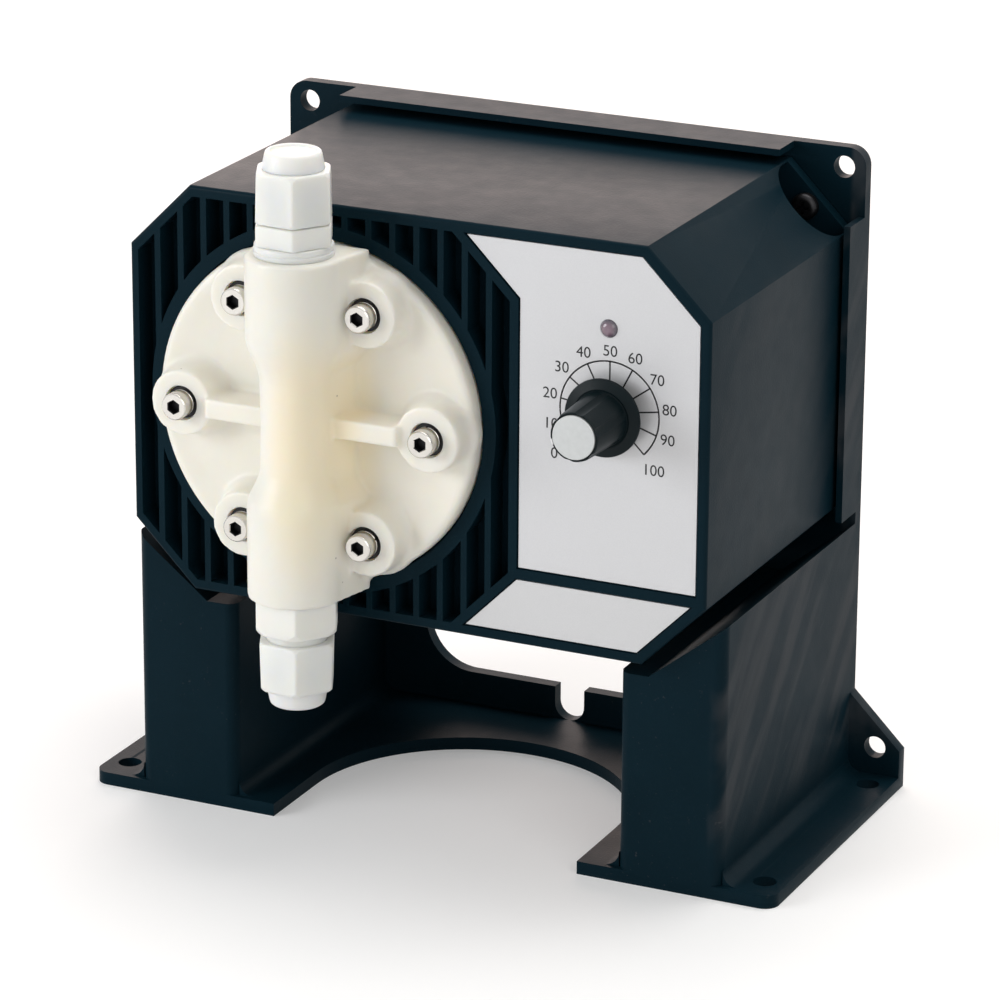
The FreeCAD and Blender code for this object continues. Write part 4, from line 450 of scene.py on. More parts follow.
# %% [markdown]
# ## Milky plastics
#
# The head, fittings and plugs are natural polypropylene. Light goes a few millimetres into it, so
# it glows softly and its shadows are pale. Transmission would let the inner pieces show, which the
# real one doesn't, so subsurface scattering does it, with one amount for the whole piece. The warm
# amber glow of light through the thick right flank of the head is painted, as a soft patch in its colour.


# %% Natural polypropylene
def milky(name, colour, roughness=0.38, mottle=0.04, specks=0.0, glow=None, **constants):
    base = {"Subsurface_Weight": 0.55, "Subsurface_Radius": (1.0, 0.8, 0.55),
            "Subsurface_Scale": mm(4.5), "Specular_IOR_Level": 0.42}
    finish = Finish(name, **{**base, **constants})
    cloud = finish.noise(12, 3.0)
    tone = finish.blend(cloud, shade(colour, 1 - mottle), shade(colour, 1 + mottle * 0.5))
    # Painted glow: a warm patch in the colour, where light passes through the plastic.
    if glow:
        tone = finish.blend(glow(finish), tone, (0.98, 0.84, 0.60, 1))
    if specks:
        sockets = {"Vector": finish.place, "Scale": 1 / mm(9)}
        dots = finish.add("ShaderNodeTexVoronoi", "Distance", {}, sockets)
        tone = finish.blend((1 - dots.ramp(0.018, 0.035)) * specks, tone, (0.12, 0.09, 0.06, 1))
    finish.give("Base Color", tone)
    finish.give("Roughness", roughness + (finish.noise(5, 2.0) - 0.5) * 0.1)
    finish.bump(finish.noise(0.9, 2.0), 0.015)
    return finish.material


def amber_core(finish):
    """Painted glow of light through the plastic: warm down the right flank of the valve body, and clear of
    the rim.
    """
    across = (finish.along("X") - mm(HEAD_X + 7)) / mm(13)
    height = (finish.along("Z") - mm(HEAD_Z - 4)) / mm(40)
    far = across * across + height * height
    return (1 - far.ramp(0.0, 1.0)) * 0.75


# %% The milky pieces' finishes
finishes["head_plastic"] = milky("head_plastic", (0.87, 0.845, 0.765), specks=0.6, glow=amber_core)
finishes["fitting_plastic"] = milky("fitting_plastic", (0.88, 0.875, 0.82))
finishes["plug_plastic"] = milky("plug_plastic", (0.87, 0.875, 0.85))
finishes["seat_plastic"] = milky("seat_plastic", (0.82, 0.81, 0.78))
finishes["diaphragm_rubber"] = milky("diaphragm_rubber", (0.75, 0.75, 0.72), roughness=0.5)
finishes["ball_ceramic"] = milky("ball_ceramic", (0.85, 0.83, 0.79), roughness=0.12,
                                 Subsurface_Weight=0.0)
print(len(finishes), "finishes with the milky ones")

# %% [markdown]
# ## Metals
#
# Bright stainless screws, zinc-plated steel, copper wire and bronze differ in colour and in how the
# last tool left them. Anisotropy could draw the light out along the tool's marks, but the marks are
# far smaller than a pixel here. So the noise is stretched a little, and it changes only the
# roughness and a very small bump. A near-black steel is painted shade: in the screw sockets, on the
# flat washers and on the case screws in their dark pockets.


# %% Metals
def metal(name, colour, roughness, mark_mm=0.5, spread=0.14):
    finish = Finish(name, Metallic=1.0)
    marks = finish.noise(mark_mm, 3.0, finish.stretched(1.0, 3.0, 1.0))
    cloud = finish.noise(3.0, 2.0)
    finish.give("Base Color", finish.blend(cloud, shade(colour, 0.9), shade(colour, 1.06)))
    finish.give("Roughness", roughness + (marks - 0.5) * spread)
    finish.bump(marks, 0.004)
    return finish.material


finishes["stainless"] = metal("stainless", (0.64, 0.62, 0.58), 0.24)
finishes["zinc_plate"] = metal("zinc_plate", (0.55, 0.55, 0.52), 0.34)
finishes["magnet_steel"] = metal("magnet_steel", (0.42, 0.42, 0.43), 0.36)
finishes["sink_aluminium"] = metal("sink_aluminium", (0.10, 0.10, 0.11), 0.5)
finishes["bush_bronze"] = metal("bush_bronze", (0.55, 0.38, 0.16), 0.4, 1.0)
finishes["coil_wire"] = metal("coil_wire", (0.48, 0.17, 0.07), 0.3, 0.8)
# Painted shade: a near-black steel for sockets, washers and screws that lie in shade.
painted_shade_black = metal("painted_shade_black_steel", (0.03, 0.03, 0.032), 0.42)
print(len(finishes), "finishes with the metals, and", painted_shade_black.name)

# %% [markdown]
# ## Printed film
#
# The control label and the name plate are silver-grey film. Its ground is a lacquer full of tiny
# flakes, which give it a pearly speckle. The flakes could be modelled with a metal shader alone, but
# then the label would mirror the dark studio, so it is only a quarter metal.


# %% Film
def film(name, colour, roughness=0.36):
    finish = Finish(name, Metallic=0.25, Specular_IOR_Level=0.4)
    speckle = finish.noise(0.25, 2.0)
    cloud = finish.noise(25, 2.0)
    tone = finish.blend(speckle, shade(colour, 0.93), shade(colour, 1.05))
    finish.give("Base Color", finish.blend(cloud * 0.3, tone, shade(colour, 0.9)))
    finish.give("Roughness", roughness + speckle * 0.1)
    finish.bump(speckle, 0.003)
    return finish.material


finishes["label_sheet"] = film("label_sheet", (0.66, 0.665, 0.68))
finishes["plate_sheet"] = film("plate_sheet", (0.64, 0.645, 0.655))
print("film:", finishes["label_sheet"].name, finishes["plate_sheet"].name)

# %% [markdown]
# ## Lamp lens
#
# The lamp on the label is off, so it is a dim purple-grey lens with a redder middle. Real glass in
# front of a dark cup would be slow to render at this size. A coat over a dark colour looks the same.

# %% Lens
LAMP_X, LAMP_Z, LAMP_RADIUS = 52.9, 148.1, 2.3
lens = Finish("lamp_lens", Coat_Roughness=0.08, Specular_IOR_Level=0.5)
lens_x = (lens.along("X") - mm(LAMP_X)) / mm(LAMP_RADIUS)
lens_z = (lens.along("Z") - mm(LAMP_Z)) / mm(LAMP_RADIUS)
off_middle = (lens_x * lens_x + lens_z * lens_z).ramp(0.1, 0.9)
lens.give("Base Color", lens.blend(off_middle, (0.20, 0.13, 0.17, 1), (0.09, 0.075, 0.10, 1)))
lens.give("Coat Weight", 0.6 + lens.noise(2.0) * 0.2)
lens.give("Roughness", 0.2 + lens.noise(1.0) * 0.1)
finishes["lamp_lens"] = lens.material
print("lens at", (LAMP_X, LAMP_Z))

# %% [markdown]
# ## Knob cap
#
# The cap is a light grey disc that was faced on a lathe, so faint rings run round its middle. A sine
# of the distance from the knob's axis gives them, in the roughness and in a very small bump.

# %% Faced cap
RING_PITCH = 0.35
face = Finish("cap_grey", Metallic=0.35)
face_x = face.along("X") - mm(DIAL_X)
face_z = face.along("Z") - mm(DIAL_Z)
squares = face_x * face_x + face_z * face_z
radial = face.add("ShaderNodeMath", "Value", {"operation": "SQRT"}, {0: squares})
waves = radial * (math.tau / mm(RING_PITCH))
rings = face.add("ShaderNodeMath", "Value", {"operation": "SINE"}, {0: waves})
greys = (0.52, 0.54, 0.54, 1), (0.62, 0.64, 0.64, 1)
face.give("Base Color", face.blend(face.noise(1.5, 3.0), *greys))
face.give("Roughness", 0.34 + rings * 0.05)
face.bump(rings, 0.002)
finishes["cap_grey"] = face.material
print("cap rings every", RING_PITCH, "mm")

# %% [markdown]
# ## Circuit board
#
# The board inside is green laminate, and only shows if the case is opened. Its glass weave lies just
# under the lacquer. A noise that is squeezed along Z stands for the weave's threads.

# %% Laminate
board = Finish("board_laminate", Specular_IOR_Level=0.5)
weave = board.noise(0.8, 1.0, board.stretched(1.0, 1.0, 3.0))
board.give("Base Color", board.blend(weave, (0.01, 0.11, 0.04, 1), (0.02, 0.18, 0.07, 1)))
board.give("Roughness", 0.25 + weave * 0.1)
board.bump(weave, 0.01)
finishes["board_laminate"] = board.material
print(len(finishes), "finishes with the board's")

# %% [markdown]
# ## Finishes on the CAD nodes
#
# The record names a material slot for every CAD node. Each node gets the finish of its slot, the
# hidden ones too, because someone may open the pump. The case screws get the near-black steel
# instead, as painted shade for their dark corner pockets.

# %% Every node its finish
node_slot = {entry["node"]: entry["material_slot"] for entry in frame["record"]["subparts"]}
for node_name, slot_name in node_slot.items():
    node = frame["nodes"][node_name]
    node.data.materials.clear()
    # The case screws get the near-black steel as painted shade.
    node.data.materials.append(painted_shade_black if node_name == "case_screws" else finishes[slot_name])
print(len(node_slot), "nodes with a finish")


# %% Handing a finished piece over to the frame
def hand_over(piece, slot_name, body="stand", stands_for=(), smooth=32):
    """Smooth shading, the finish of a slot, the piece's body, and the CAD nodes it stands for hidden."""
    pick_only(piece)
    bpy.ops.object.shade_smooth_by_angle(angle=math.radians(smooth))
    piece.data.materials.clear()
    piece.data.materials.append(finishes[slot_name])
    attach(piece, body)
    if stands_for:
        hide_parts(*stands_for)
    print(piece.name, len(piece.data.polygons), "faces")
    return piece


# %% [markdown]
# ## The case and the stand
#
# Both mouldings have the right form in CAD, with edges drawn sharp. A real mould never makes a sharp
# edge, and the thin light line along each rounded edge is what makes the plastic look real. So a
# copy of each mesh is merged, its flat triangles are dissolved into whole faces, and its edges are
# bevelled by a third of a millimetre.


# %% Softened copies of the two mouldings
def softened(name, node_name, width, segments=2):
    piece = bpy.data.objects.new(name, frame["nodes"][node_name].data.copy())
    bpy.context.scene.collection.objects.link(piece)
    pick_only(piece)
    bpy.ops.mesh.customdata_custom_splitnormals_clear()
    bpy.ops.object.mode_set(mode="EDIT")
    bpy.ops.mesh.select_all(action="SELECT")
    bpy.ops.mesh.remove_doubles(threshold=mm(0.002))
    bpy.ops.mesh.dissolve_limited(angle_limit=math.radians(0.6))
    bpy.ops.object.mode_set(mode="OBJECT")
    return rounded(piece, width, segments, 40)


MOULDINGS = ("case_moulding", "case_shell", 0.3), ("stand_moulding", "stand_bracket", 0.35)
for name, node_name, width in MOULDINGS:
    moulding = softened(name, node_name, width)
    hand_over(moulding, node_slot[node_name], stands_for=[node_name], smooth=22)

# %% [markdown]
# ## Pump head: disc, bosses and ribs
#
# The head is one thick moulding: a dished disc with a heavy rim, an upright valve body with a narrow
# neck, six bosses for the screws and a rib to each side boss. Everything flows together in soft
# hollows, which bevels on a joined mesh would tear. So separate rough shapes are made first, and
# melted into one skin afterwards. Each shape is a little too crisp, because the melting rounds it.

# %% Disc, bosses and ribs
DISC_PROFILE = [(38, 0), (44.4, 0), (44.4, 4.6), (44.15, 5.6), (43.5, 6.3), (42.6, 6.5), (41.4, 6.3),
                (38, 5.7), (30, 5.1), (18, 5.0)]
BOSS_PROFILE = [(10.6, -3), (10.6, 0), (9.8, 0.8), (9.2, 1.9), (8.9, 3.2), (8.75, 4.6), (8.6, 7.6)]
RIB_HALF = 2.6
disc = put(turned("head_disc", DISC_PROFILE, 128), HEAD_X, HEAD_BACK, HEAD_Z, FORWARD)
boss = turned("head_boss", BOSS_PROFILE, 48)
put(boss, HEAD_X + SCREW_CIRCLE, HEAD_FACE + 1.0, HEAD_Z, FORWARD)
bosses = around_head(boss)
ribs = []
for side in (-1, 1):
    reach = sorted((HEAD_X + side * 8, HEAD_X + side * 27))
    depth, height = (VALVE_Y + 1.8, HEAD_FACE + 3), (HEAD_Z - RIB_HALF, HEAD_Z + RIB_HALF)
    ribs.append(bar("head_rib", reach, depth, height))
print("disc,", len(bosses), "bosses,", len(ribs), "ribs")

# %% [markdown]
# ## Pump head: valve body
#
# The body is a round bar with a waist, and its back is a web that joins it to the disc and spreads
# as it gets there. The round front is turned. The web is a box, bisected where the waist begins and
# ends, narrowed between those cuts, and widened at the disc.

# %% Valve body
BODY_HALF, BODY_RADIUS, NECK_RADIUS, SPREAD = 44.7, 12.4, 8.7, 2.6
body_profile = [(BODY_RADIUS, -BODY_HALF), (BODY_RADIUS, -21), (11.9, -18.6), (9.9, -14.6), (8.9, -11.5),
                (NECK_RADIUS, 0), (8.9, 13), (9.7, 16), (11.8, 20.5), (BODY_RADIUS, 23),
                (BODY_RADIUS, BODY_HALF)]
body_front = put(turned("body_front", body_profile, 96), HEAD_X, VALVE_Y, HEAD_Z)
web = bar("body_web", (HEAD_X - BODY_RADIUS, HEAD_X + BODY_RADIUS), (VALVE_Y, HEAD_FACE + 2),
          (BODY_BOTTOM, BODY_TOP))
bpy.ops.object.mode_set(mode="EDIT")
for height in (20, 14.8, -14.8, -20):
    bpy.ops.mesh.select_all(action="SELECT")
    bpy.ops.mesh.bisect(plane_co=mm(0, 0, HEAD_Z + height), plane_no=UP)
bpy.ops.object.mode_set(mode="OBJECT")
for vertex in web.data.vertices:
    vertex.select = abs(vertex.co.z - mm(HEAD_Z)) < mm(15)
for edge in web.data.edges:
    edge.select = all(web.data.vertices[v].select for v in edge.vertices)
for face in web.data.polygons:
    face.select = all(web.data.vertices[v].select for v in face.vertices)
bpy.ops.object.mode_set(mode="EDIT")
narrow = (NECK_RADIUS / BODY_RADIUS, 1, 1)
bpy.ops.transform.resize(value=narrow, center_override=mm(HEAD_X, VALVE_Y, HEAD_Z))
bpy.ops.object.mode_set(mode="OBJECT")
for vertex in web.data.vertices:
    if vertex.co.y > mm(HEAD_FACE):
        vertex.co.x += math.copysign(mm(SPREAD), vertex.co.x - mm(HEAD_X))
print("web", [round(1000 * v, 1) for v in web.dimensions], "mm")

# %% [markdown]
# ## Pump head: one skin
#
# A voxel remesh wraps all the rough shapes in one even skin, and a smoothing pass turns its corners
# into the hollows of a moulding. Voxels larger than half a millimetre would lose the ribs, and much
# smaller ones only cost time. The holes are cut after the smoothing, so they stay crisp.

# %% One skin, then the holes
VOXEL, SMOOTHING = 0.55, 9
POCKET_DEPTH, BORE_DEPTH = 1.9, 32
UPPER_SEAT, LOWER_SEAT = 137.5, 97.3
head = joined("pump_head_moulding", [disc, *bosses, *ribs, body_front, web])
modified(head, "REMESH", mode="VOXEL", voxel_size=mm(VOXEL), use_smooth_shade=True)
modified(head, "SMOOTH", factor=0.5, iterations=SMOOTHING)
screw_x = HEAD_X + SCREW_CIRCLE
hole = put(turned("hole", [(2.3, 0), (2.3, 30)], 24), screw_x, -45, HEAD_Z, FORWARD)
pocket = turned("pocket", [(4.6, 0), (4.6, 25)], 48)
put(pocket, screw_x, BOSS_FACE + POCKET_DEPTH, HEAD_Z, FORWARD)
cut(head, joined("shaft_holes", around_head(hole)), joined("pockets", around_head(pocket)))
chamber = turned("chamber", [(19.5, -1), (19.5, 0), (17.5, 2.7)], 64)
put(chamber, HEAD_X, HEAD_BACK, HEAD_Z, FORWARD)
bore_profile = [(9.0, 0), (9.0, BORE_DEPTH)]
upper = put(turned("upper_bore", bore_profile, 64), HEAD_X, VALVE_Y, UPPER_SEAT)
lower = put(turned("lower_bore", bore_profile, 64), HEAD_X, VALVE_Y, LOWER_SEAT - BORE_DEPTH)
cut(head, chamber, upper, lower)
hand_over(head, "head_plastic", stands_for=["pump_head"], smooth=40)

# %% [markdown]
# ## Head screws
#
# Each boss carries a stainless socket screw. One is turned, its socket is cut with a six-sided tool
# that flares at the mouth, and it is copied round the head. The rim is chamfered, because the bright
# rings of rim and socket are what the eye reads as a socket screw. A thread isn't modelled, since
# the boss hides it.

# %% One socket screw, then six
HEAD_HEIGHT, SOCKET_FLATS = 4.0, 3.0
screw = turned("socket_screw", [(1.6, -26.6), (2.0, -26.2), (2.0, 0), (3.4, 0), (3.5, 0.15), (3.5, 3.55),
                                (3.4, 3.8), (3.15, HEAD_HEIGHT), (2.2, HEAD_HEIGHT)], 48)
corner = SOCKET_FLATS / math.sqrt(3)
cut(screw, turned("socket_tool", [(corner, 1.8), (corner, 3.75), (corner + 0.35, 4.1)], 6))
put(screw, screw_x, BOSS_FACE, HEAD_Z, FORWARD)
screws = joined("head_screw_set", around_head(screw))
hand_over(screws, "stainless", stands_for=["head_screws"])

# %% [markdown]
# ## Dark sockets
#
# In the photograph the sockets look black, from the shade inside them. The room here is white all
# round, and bright steel would mirror it even inside a socket. So the faces in each socket get a
# near-black steel as a second material, as painted shade. They are found by their place: near a
# screw's own axis, and below its top.

# %% Painted shade: near-black faces in the sockets
SOCKET_REACH, SIXTH = 1.9, math.radians(60)
screws.data.materials.append(painted_shade_black)
centre = mm(HEAD_X, 0, HEAD_Z)
dark = 0
for face in screws.data.polygons:
    spoke = face.center - centre
    step = round(math.atan2(spoke.z, spoke.x) / SIXTH) * SIXTH
    aside = spoke.x - mm(SCREW_CIRCLE) * math.cos(step)
    aloft = spoke.z - mm(SCREW_CIRCLE) * math.sin(step)
    depth = face.center.y - mm(BOSS_FACE - HEAD_HEIGHT)
    if math.hypot(aside, aloft) < mm(SOCKET_REACH) and mm(0.12) < depth < mm(2.4):
        face.material_index = 1
        dark += 1
print(dark, "dark faces in", 6, "sockets")

# %% [markdown]
# ## Washers
#
# Under each screw head lie a split washer and a flat one. A split washer is a ring with a narrow gap,
# which a thin bar cuts. The flat one is near-black as painted shade for the dark recess round the
# head, so the two are easy to tell apart.

# %% Split washers and flat washers
SPLIT_HEIGHT = 1.1
split = turned("split_washer", [(2.1, 0.05), (3.35, 0.0), (3.5, 0.15), (3.5, 0.95),
                                (3.35, SPLIT_HEIGHT), (2.1, 1.05)], 48, ring=True)
cut(split, bar("gap", (-0.3, 0.3), (1.5, 5), (-1, 3)))
put(split, screw_x, BOSS_FACE + SPLIT_HEIGHT, HEAD_Z, FORWARD)
splits = joined("split_washer_set", around_head(split))
hand_over(splits, "stainless", stands_for=["head_spring_washers"])
flat = turned("flat_washer", [(2.1, 0), (4.2, 0), (4.3, 0.1), (4.3, 0.68), (4.18, 0.8), (2.1, 0.8)],
              48, ring=True)
put(flat, screw_x, BOSS_FACE + POCKET_DEPTH, HEAD_Z, FORWARD)
flats = joined("flat_washer_set", around_head(flat))
hand_over(flats, "stainless", stands_for=["head_flat_washers"])
# Painted shade: the flat washers take the near-black steel for the dark recess round each head.
flats.data.materials[0] = painted_shade_black

# %% [markdown]
# ## Hexagons
#
# Above and below the head stand the same three pieces: a fitting with a hexagonal collar, a union nut
# and a blanking plug. A hexagon with turned-off corners is a hexagonal bar cut down by a turned
# shape, as on a lathe. A bevel on its end edges would cut the flats too. So the bar is a six-sided
# turning, and only what lies inside a round one is kept.

# %% Hexagons with turned-off corners
CORNER_TURN = -35.0
FLATS, LOWER_FLATS, DRAFT = 18.6, 20.2, 0.6


def hexagonal(name, low_flats, high_flats, height, cut_low, cut_high):
    """A hexagonal bar from 0 up to height, its corners turned off by the two cuts."""
    low, high = low_flats / math.sqrt(3), high_flats / math.sqrt(3)
    piece = turned(name, [(low, 0), (high, height)], 6)
    rounded(piece, 0.45, 3, 25)
    widest = max(low, high) + 0.05
    profile = [(widest - cut_low, -0.1), (widest, cut_low * 1.5), (widest, height - cut_high * 1.5),
               (widest - cut_high, height + 0.1)]
    return boolean(piece, turned("turning", profile, 96), "INTERSECT")


def at_valve(piece, z, facing=UP):
    """On the valves' axis, with the corners in line above and below the head."""
    return put(piece, HEAD_X, VALVE_Y, z, facing, CORNER_TURN * facing.z)


# %% [markdown]
# ## Valve fittings
#
# A fitting is screwed into each end of the valve body. The upper one shows a flange with a groove
# under its collar, and the lower one a taller collar. The part inside the nut is turned plain: its
# thread can't be seen, and a helix there would only make the mesh heavy.

# %% Upper fitting
FLANGE_PROFILE = [(3.0, -6.4), (8.9, -6.4), (8.9, 0), (9.9, 0), (10.1, 0.2), (10.1, 1.1), (9.8, 1.35),
                  (9.8, 1.6), (10.0, 1.85), (9.9, 2.75), (9.6, 3.0), (3.0, 3.0)]
flange = turned("flange", FLANGE_PROFILE, 96, ring=True)
collar = hexagonal("collar", FLATS, FLATS, 5.5, 0.0, 0.0)
cut(collar, turned("collar_bore", [(3.0, -1), (3.0, 7)], 48))
put(collar, 0, 0, 3.0)
thread = turned("thread", [(3.0, 8.5), (7.8, 8.5), (7.8, 17.6), (7.2, 18.2), (3.0, 18.2)], 64, ring=True)
fitting = joined("discharge_fitting_piece", [flange, collar, thread])
at_valve(fitting, BODY_TOP)
hand_over(fitting, "fitting_plastic", stands_for=["discharge_fitting"])

# %% Lower fitting
spigot = turned("spigot", [(3.0, -6.4), (8.9, -6.4), (8.9, 0), (3.0, 0)], 96, ring=True)
collar = hexagonal("collar", LOWER_FLATS, LOWER_FLATS, 9.0, 0.0, 1.4)
cut(collar, turned("collar_bore", [(3.0, -1), (3.0, 11)], 48))
thread = turned("thread", [(3.0, 9.0), (7.8, 9.0), (7.8, 20.2), (7.2, 20.8), (3.0, 20.8)], 64, ring=True)
fitting = joined("suction_fitting_piece", [spigot, collar, thread])
at_valve(fitting, BODY_BOTTOM, DOWN)
hand_over(fitting, "fitting_plastic", stands_for=["suction_fitting"])

# %% [markdown]
# ## Union nuts and blanking plugs
#
# Each nut is hexagonal, bored for the thread and narrower towards its end. The plug in it stands a
# few millimetres proud, with a waist and a rounded rim round a shallow dish. Both ends are made by
# one loop, since the lower pair is the upper pair turned over.

# %% Nuts and plugs
NUT_HEIGHT = 13.0
NUT_BORE = [(7.85, -1), (7.85, 9.8), (6.35, 9.8), (6.35, 14)]
PLUG_PROFILE = [(6.3, -3.2), (6.3, 0), (7.7, 0), (7.85, 0.2), (7.3, 2.9), (7.15, 3.7), (6.95, 4.25),
                (6.6, 4.55), (6.3, 4.6), (6.05, 4.45), (5.8, 3.95), (5.4, 3.9)]
for valve, foot, facing in (("discharge", 169.7, UP), ("suction", 60.1, DOWN)):
    nut = hexagonal("nut", FLATS, FLATS - DRAFT, NUT_HEIGHT, 0.8, 1.3)
    cut(nut, turned("nut_bore", NUT_BORE, 64))
    nut.name = nut.data.name = valve + "_nut_piece"
    hand_over(at_valve(nut, foot, facing), "fitting_plastic", stands_for=[valve + "_nut"])
    plug = turned(valve + "_plug_piece", PLUG_PROFILE, 96)
    end = foot + NUT_HEIGHT * facing.z
    hand_over(at_valve(plug, end, facing), "plug_plastic", stands_for=[valve + "_plug"])

# %% [markdown]
# ## The return spring
#
# Behind the diaphragm a coil spring pushes the plunger back. One of its ends stays on the pole piece
# and the other follows the armature, so it can't ride on either. A copy of its wire with softened
# edges stands in for it.

# %% A softened copy of the spring
STROKE = 1.25
spring_low, spring_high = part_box("return_spring")
length = spring_high[1] - spring_low[1]
spring = softened("return_spring_coil", "return_spring", 0.06)
hand_over(spring, node_slot["return_spring"], stands_for=["return_spring"])
(length - mm(STROKE)) / length
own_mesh(spring)
print("spring from", round(1000 * length, 2), "to", round(1000 * length - STROKE, 2), "mm")

# %% [markdown]
# ## The knob
#
# The knob is a black moulding. Its wide skirt stands clear of the label and shades it, and its body
# narrows towards a light grey cap. Six broad, shallow flutes give the grip. They could be drawn in
# the body's outline, but a fade at the foot is easier as a cut: a ring of round tools leans with the
# body's own taper, and each tool's tip is tapered too.

# %% Knob with flutes
KNOB_BACK, FLUTES, POINTER_ANGLE = -51.1, 6, 198
WAIST, NOSE, GRIP = 6.9, 6.36, 14.4
KNOB_PROFILE = [(3.06, 2.7), (6.6, 2.7), (6.6, 0), (7.7, 0), (7.8, 0.1), (7.8, 1.4), (8.3, 2.3), (9.85, 2.9),
                (10.0, 3.05), (10.0, 3.75), (9.85, 4.0), (7.55, 4.6), (7.3, 4.5), (7.15, 4.5), (7.0, 4.7),
                (WAIST, 5.3), (NOSE, 19.7), (6.25, 20.25), (6.0, 20.5), (5.86, 20.5), (5.86, 20.0),
                (3.06, 20.0)]
knob = turned("knob_moulding", KNOB_PROFILE, 96, ring=True)
flute = turned("flute", [(2.2, 5.0), (2.6, 5.9), (2.6, 24)], 32)
lean = Matrix.Rotation(-math.atan((WAIST - NOSE) / GRIP), 4, "Y")
flute.data.transform(Matrix.Translation(mm(9.3, 0, 0)) @ lean)
tools = []
for step in range(FLUTES):
    tool = copied(flute)
    tool.data.transform(Matrix.Rotation(math.radians(POINTER_ANGLE + 360 / FLUTES * step), 4, "Z"))
    tools.append(tool)
bpy.data.objects.remove(flute)
cut(knob, joined("flute_tools", tools))
print("knob with", FLUTES, "flutes,", len(knob.data.polygons), "faces")

# %% [markdown]
# ## Pointer and cap
#
# A white pointer is set into a slot at the knob's end, in line with one flute, and a thin disc closes
# the end. The slot is cut first, and a slightly smaller bar with softened edges lies in it. Paint on
# the knob would be simpler, but an inlay stays crisp and is its own piece.

# %% Pointer and cap
slot = put(bar("pointer_slot", (5.6, 8), (-0.8, 0.8), (14.9, 22)), 0, 0, 0, turn=POINTER_ANGLE)
cut(knob, slot)
put(knob, DIAL_X, KNOB_BACK, DIAL_Z, FORWARD)
hand_over(knob, "knob_plastic", "knob", ["control_knob"])
pointer = rounded(bar("pointer_inlay", (5.9, 6.35), (-0.75, 0.75), (14.95, 20.45)), 0.12)
put(pointer, 0, 0, 0, turn=POINTER_ANGLE)
put(pointer, DIAL_X, KNOB_BACK, DIAL_Z, FORWARD)
hand_over(pointer, "pointer_white", "knob", ["knob_pointer"])
cap = turned("knob_cap_disc", [(5.5, -0.5), (5.6, -0.4), (5.6, 0.2), (5.5, 0.32), (5.2, 0.34)], 96)
put(cap, DIAL_X, KNOB_BACK - 20.5, DIAL_Z, FORWARD)
hand_over(cap, "cap_grey", "knob", ["knob_cap"])

# %% [markdown]
# ## The printed dial
#
# The scale is printed in black ink: an arc of three quarters of a circle, eleven ticks from it
# inwards, and the numbers 0 to 100. Ink has almost no thickness. As thin solids the lines stay crisp
# at any distance, which a pattern in the label's colour wouldn't.

# %% Ink
ink = Finish("ink", Specular_IOR_Level=0.3)
blacks = (0.010, 0.010, 0.012, 1), (0.020, 0.020, 0.022, 1)
ink.give("Base Color", ink.blend(ink.noise(0.6, 2.0), *blacks))
ink.give("Roughness", 0.5 + ink.noise(0.4) * 0.1)
finishes["ink"] = ink.material
ARC, TICK_FOOT, LINE, INK_HEIGHT = 13.25, 7.8, 0.40, 0.03
print("arc of", ARC, "mm radius, lines", LINE, "mm wide")


# %% Arc
def clock(share):
    """The angle of a reading from 0 to 1, with 0 at lower left and 1 at lower right."""
    return math.radians(225 - 270 * share)


bpy.ops.object.select_all(action="DESELECT")
bpy.ops.mesh.primitive_circle_add(vertices=160, radius=mm(ARC + LINE / 2), fill_type="NOTHING")
arc = bpy.context.object
bpy.ops.object.mode_set(mode="EDIT")
bpy.ops.mesh.select_all(action="SELECT")
bpy.ops.mesh.extrude_region_move()
shrink = (ARC - LINE / 2) / (ARC + LINE / 2)
bpy.ops.transform.resize(value=(shrink, shrink, 1), center_override=(0, 0, 0))
bpy.ops.object.mode_set(mode="OBJECT")
for face in arc.data.polygons:
    face.select = face.center.y < -abs(face.center.x)
bpy.ops.object.mode_set(mode="EDIT")
bpy.ops.mesh.select_mode(type="FACE")
bpy.ops.mesh.delete(type="FACE")
bpy.ops.mesh.select_mode(type="VERT")
bpy.ops.object.mode_set(mode="OBJECT")
print("arc with", len(arc.data.polygons), "faces")

# %% Ticks, and the scale's thickness
lines = [arc]
for reading in range(11):
    angle = clock(reading / 10)
    middle = (ARC + TICK_FOOT) / 2
    place = mm(middle * math.cos(angle), middle * math.sin(angle), 0)
    bpy.ops.mesh.primitive_plane_add(size=1, location=place, rotation=(0, 0, angle))
    tick = bpy.context.object
    tick.scale = mm(ARC - TICK_FOOT, LINE, 1)
    lines.append(tick)
scale = joined("dial_scale", lines)
bpy.ops.object.transform_apply(location=True, rotation=True, scale=True)
modified(scale, "SOLIDIFY", thickness=mm(INK_HEIGHT), offset=1.0)
put(scale, DIAL_X + 0.1, LABEL_FRONT, DIAL_Z + 0.15, FORWARD)
print(len(lines) - 1, "ticks")

# %% [markdown]
# ## The dial's numbers
#
# The numbers stand outside the arc, each listed where the printer set it, not on an even circle.
# Text objects give clean figures. They are made meshes before they are moved, so that their places
# are in their meshes too.

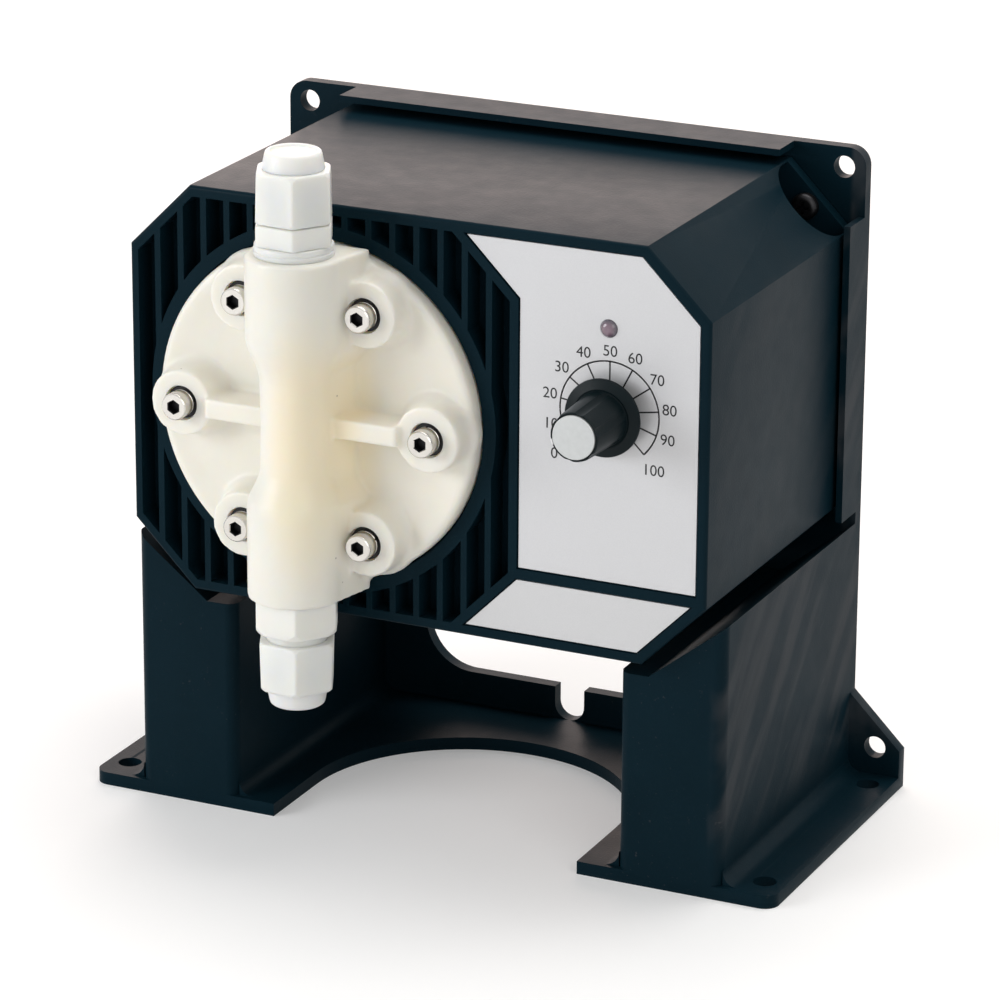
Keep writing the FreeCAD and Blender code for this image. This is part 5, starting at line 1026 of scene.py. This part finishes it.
# %% Numbers
NUMBER_PLACES = {0: (-14.6, -12.4), 10: (-15.6, -4.8), 20: (-15.9, 3.0), 30: (-12.8, 10.1),
                 40: (-7.0, 14.7), 50: (0.1, 15.9), 60: (6.8, 14.9), 70: (12.7, 10.2),
                 80: (16.1, 2.9), 90: (15.7, -4.8), 100: (12.1, -13.1)}
numbers = []
for reading, (x, z) in NUMBER_PLACES.items():
    bpy.ops.object.select_all(action="DESELECT")
    bpy.ops.object.text_add(location=mm(x, z, 0))
    number = bpy.context.object
    number.data.body = str(reading)
    number.data.size = mm(4.0)
    number.data.align_x, number.data.align_y = "CENTER", "CENTER"
    number.data.extrude = mm(INK_HEIGHT / 2)
    bpy.ops.object.convert(target="MESH")
    bpy.ops.object.transform_apply(location=True, rotation=True, scale=True)
    numbers.append(bpy.context.object)
figures = joined("dial_numbers", numbers)
put(figures, DIAL_X, LABEL_FRONT - INK_HEIGHT / 2, DIAL_Z, FORWARD)

# %% Ink on the scale and the numbers
for printed in (scale, figures):
    pick_only(printed)
    printed.data.materials.clear()
    printed.data.materials.append(finishes["ink"])
    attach(printed, "stand")
    print(printed.name, len(printed.data.polygons), "faces")

# %% [markdown]
# ## The floor
#
# The photograph has a white ground with the pump's soft shadow on it. A white floor under enough
# light to look white would also be too bright for the pump. So the floor is a plain pale plane, and
# it glows a little only for rays that look at it, mirror it or pass through to it. It glows more far
# out, where no shadow falls, so that it meets the white background.

# %% Floor
NEAR_GLOW, FAR_GLOW = 0.25, 0.35
bpy.ops.object.select_all(action="DESELECT")
bpy.ops.mesh.primitive_plane_add(size=8, location=(0, 0, 0))
floor = bpy.context.object
floor.name = "floor"
ground = Finish("ground", Roughness=0.9)
ground.shader.inputs["Base Color"].default_value = (0.80, 0.80, 0.80, 1)
ground.shader.inputs["Emission Color"].default_value = (1, 1, 1, 1)
distance = ground.add("ShaderNodeVectorMath", "Value", {"operation": "LENGTH"}, {0: ground.place})
glow = distance.ramp(0.5, 3.0) * FAR_GLOW + NEAR_GLOW
ground.give("Emission Strength", ground.white_rays() * glow)
floor.data.materials.append(ground.material)
print("floor", [round(v, 1) for v in floor.dimensions], "m")

# %% [markdown]
# ## The world
#
# The world is the room: a dim, even light on the pump, and pure white for rays that only look at it
# or mirror it. A white backdrop behind the pump would need its own light, which would spill over.

# %% World
ROOM, WHITE = 0.35, 1.0
world = bpy.data.worlds.new("studio")
bpy.context.scene.world = world
world.use_nodes = True
room = Nodes(world.node_tree)
levels = {"Value": room.white_rays(), "To Min": ROOM, "To Max": WHITE}
background = world.node_tree.nodes["Background"]
room.set(background.inputs["Strength"], room.add("ShaderNodeMapRange", "Result", {}, levels))
background.inputs["Color"].default_value = (1, 1, 1, 1)
print("room light", ROOM)

# %% [markdown]
# ## The lamps
#
# One broad lamp hangs above and behind. The case's top mirrors a second, warm one far behind it, and
# that makes its brown-grey sheen. A lamp at the front left models the head's round forms, and a weak
# one at the right lifts the case's side. Area lamps are used, because a small lamp's hard shadow
# isn't in the photograph.


# %% Lamps
def softbox(name, place, size, watts, colour):
    """A rectangular lamp at a place in metres, aimed at the middle of the pump."""
    aim = Vector((0, 0, 0.1))
    bpy.ops.object.light_add(type="AREA", location=place)
    lamp = bpy.context.object
    lamp.name = name
    lamp.data.shape = "RECTANGLE"
    lamp.data.size, lamp.data.size_y = size
    lamp.data.energy = watts
    lamp.data.color = colour
    lamp.rotation_euler = (aim - Vector(place)).to_track_quat("-Z", "Y").to_euler()
    print(name, watts, "W")


softbox("overhead", (0.1, 0.35, 1.3), (1.0, 0.8), 10.5, (1.0, 0.97, 0.94))
softbox("rear", (-0.65, 1.4, 0.55), (1.3, 0.8), 9.0, (1.0, 0.76, 0.67))
softbox("front_left", (-0.72, -0.72, 0.38), (0.55, 0.5), 5.2, (0.97, 0.98, 1.0))
softbox("right_fill", (0.9, -0.8, 0.7), (0.8, 0.8), 3.2, (1.0, 0.98, 0.95))
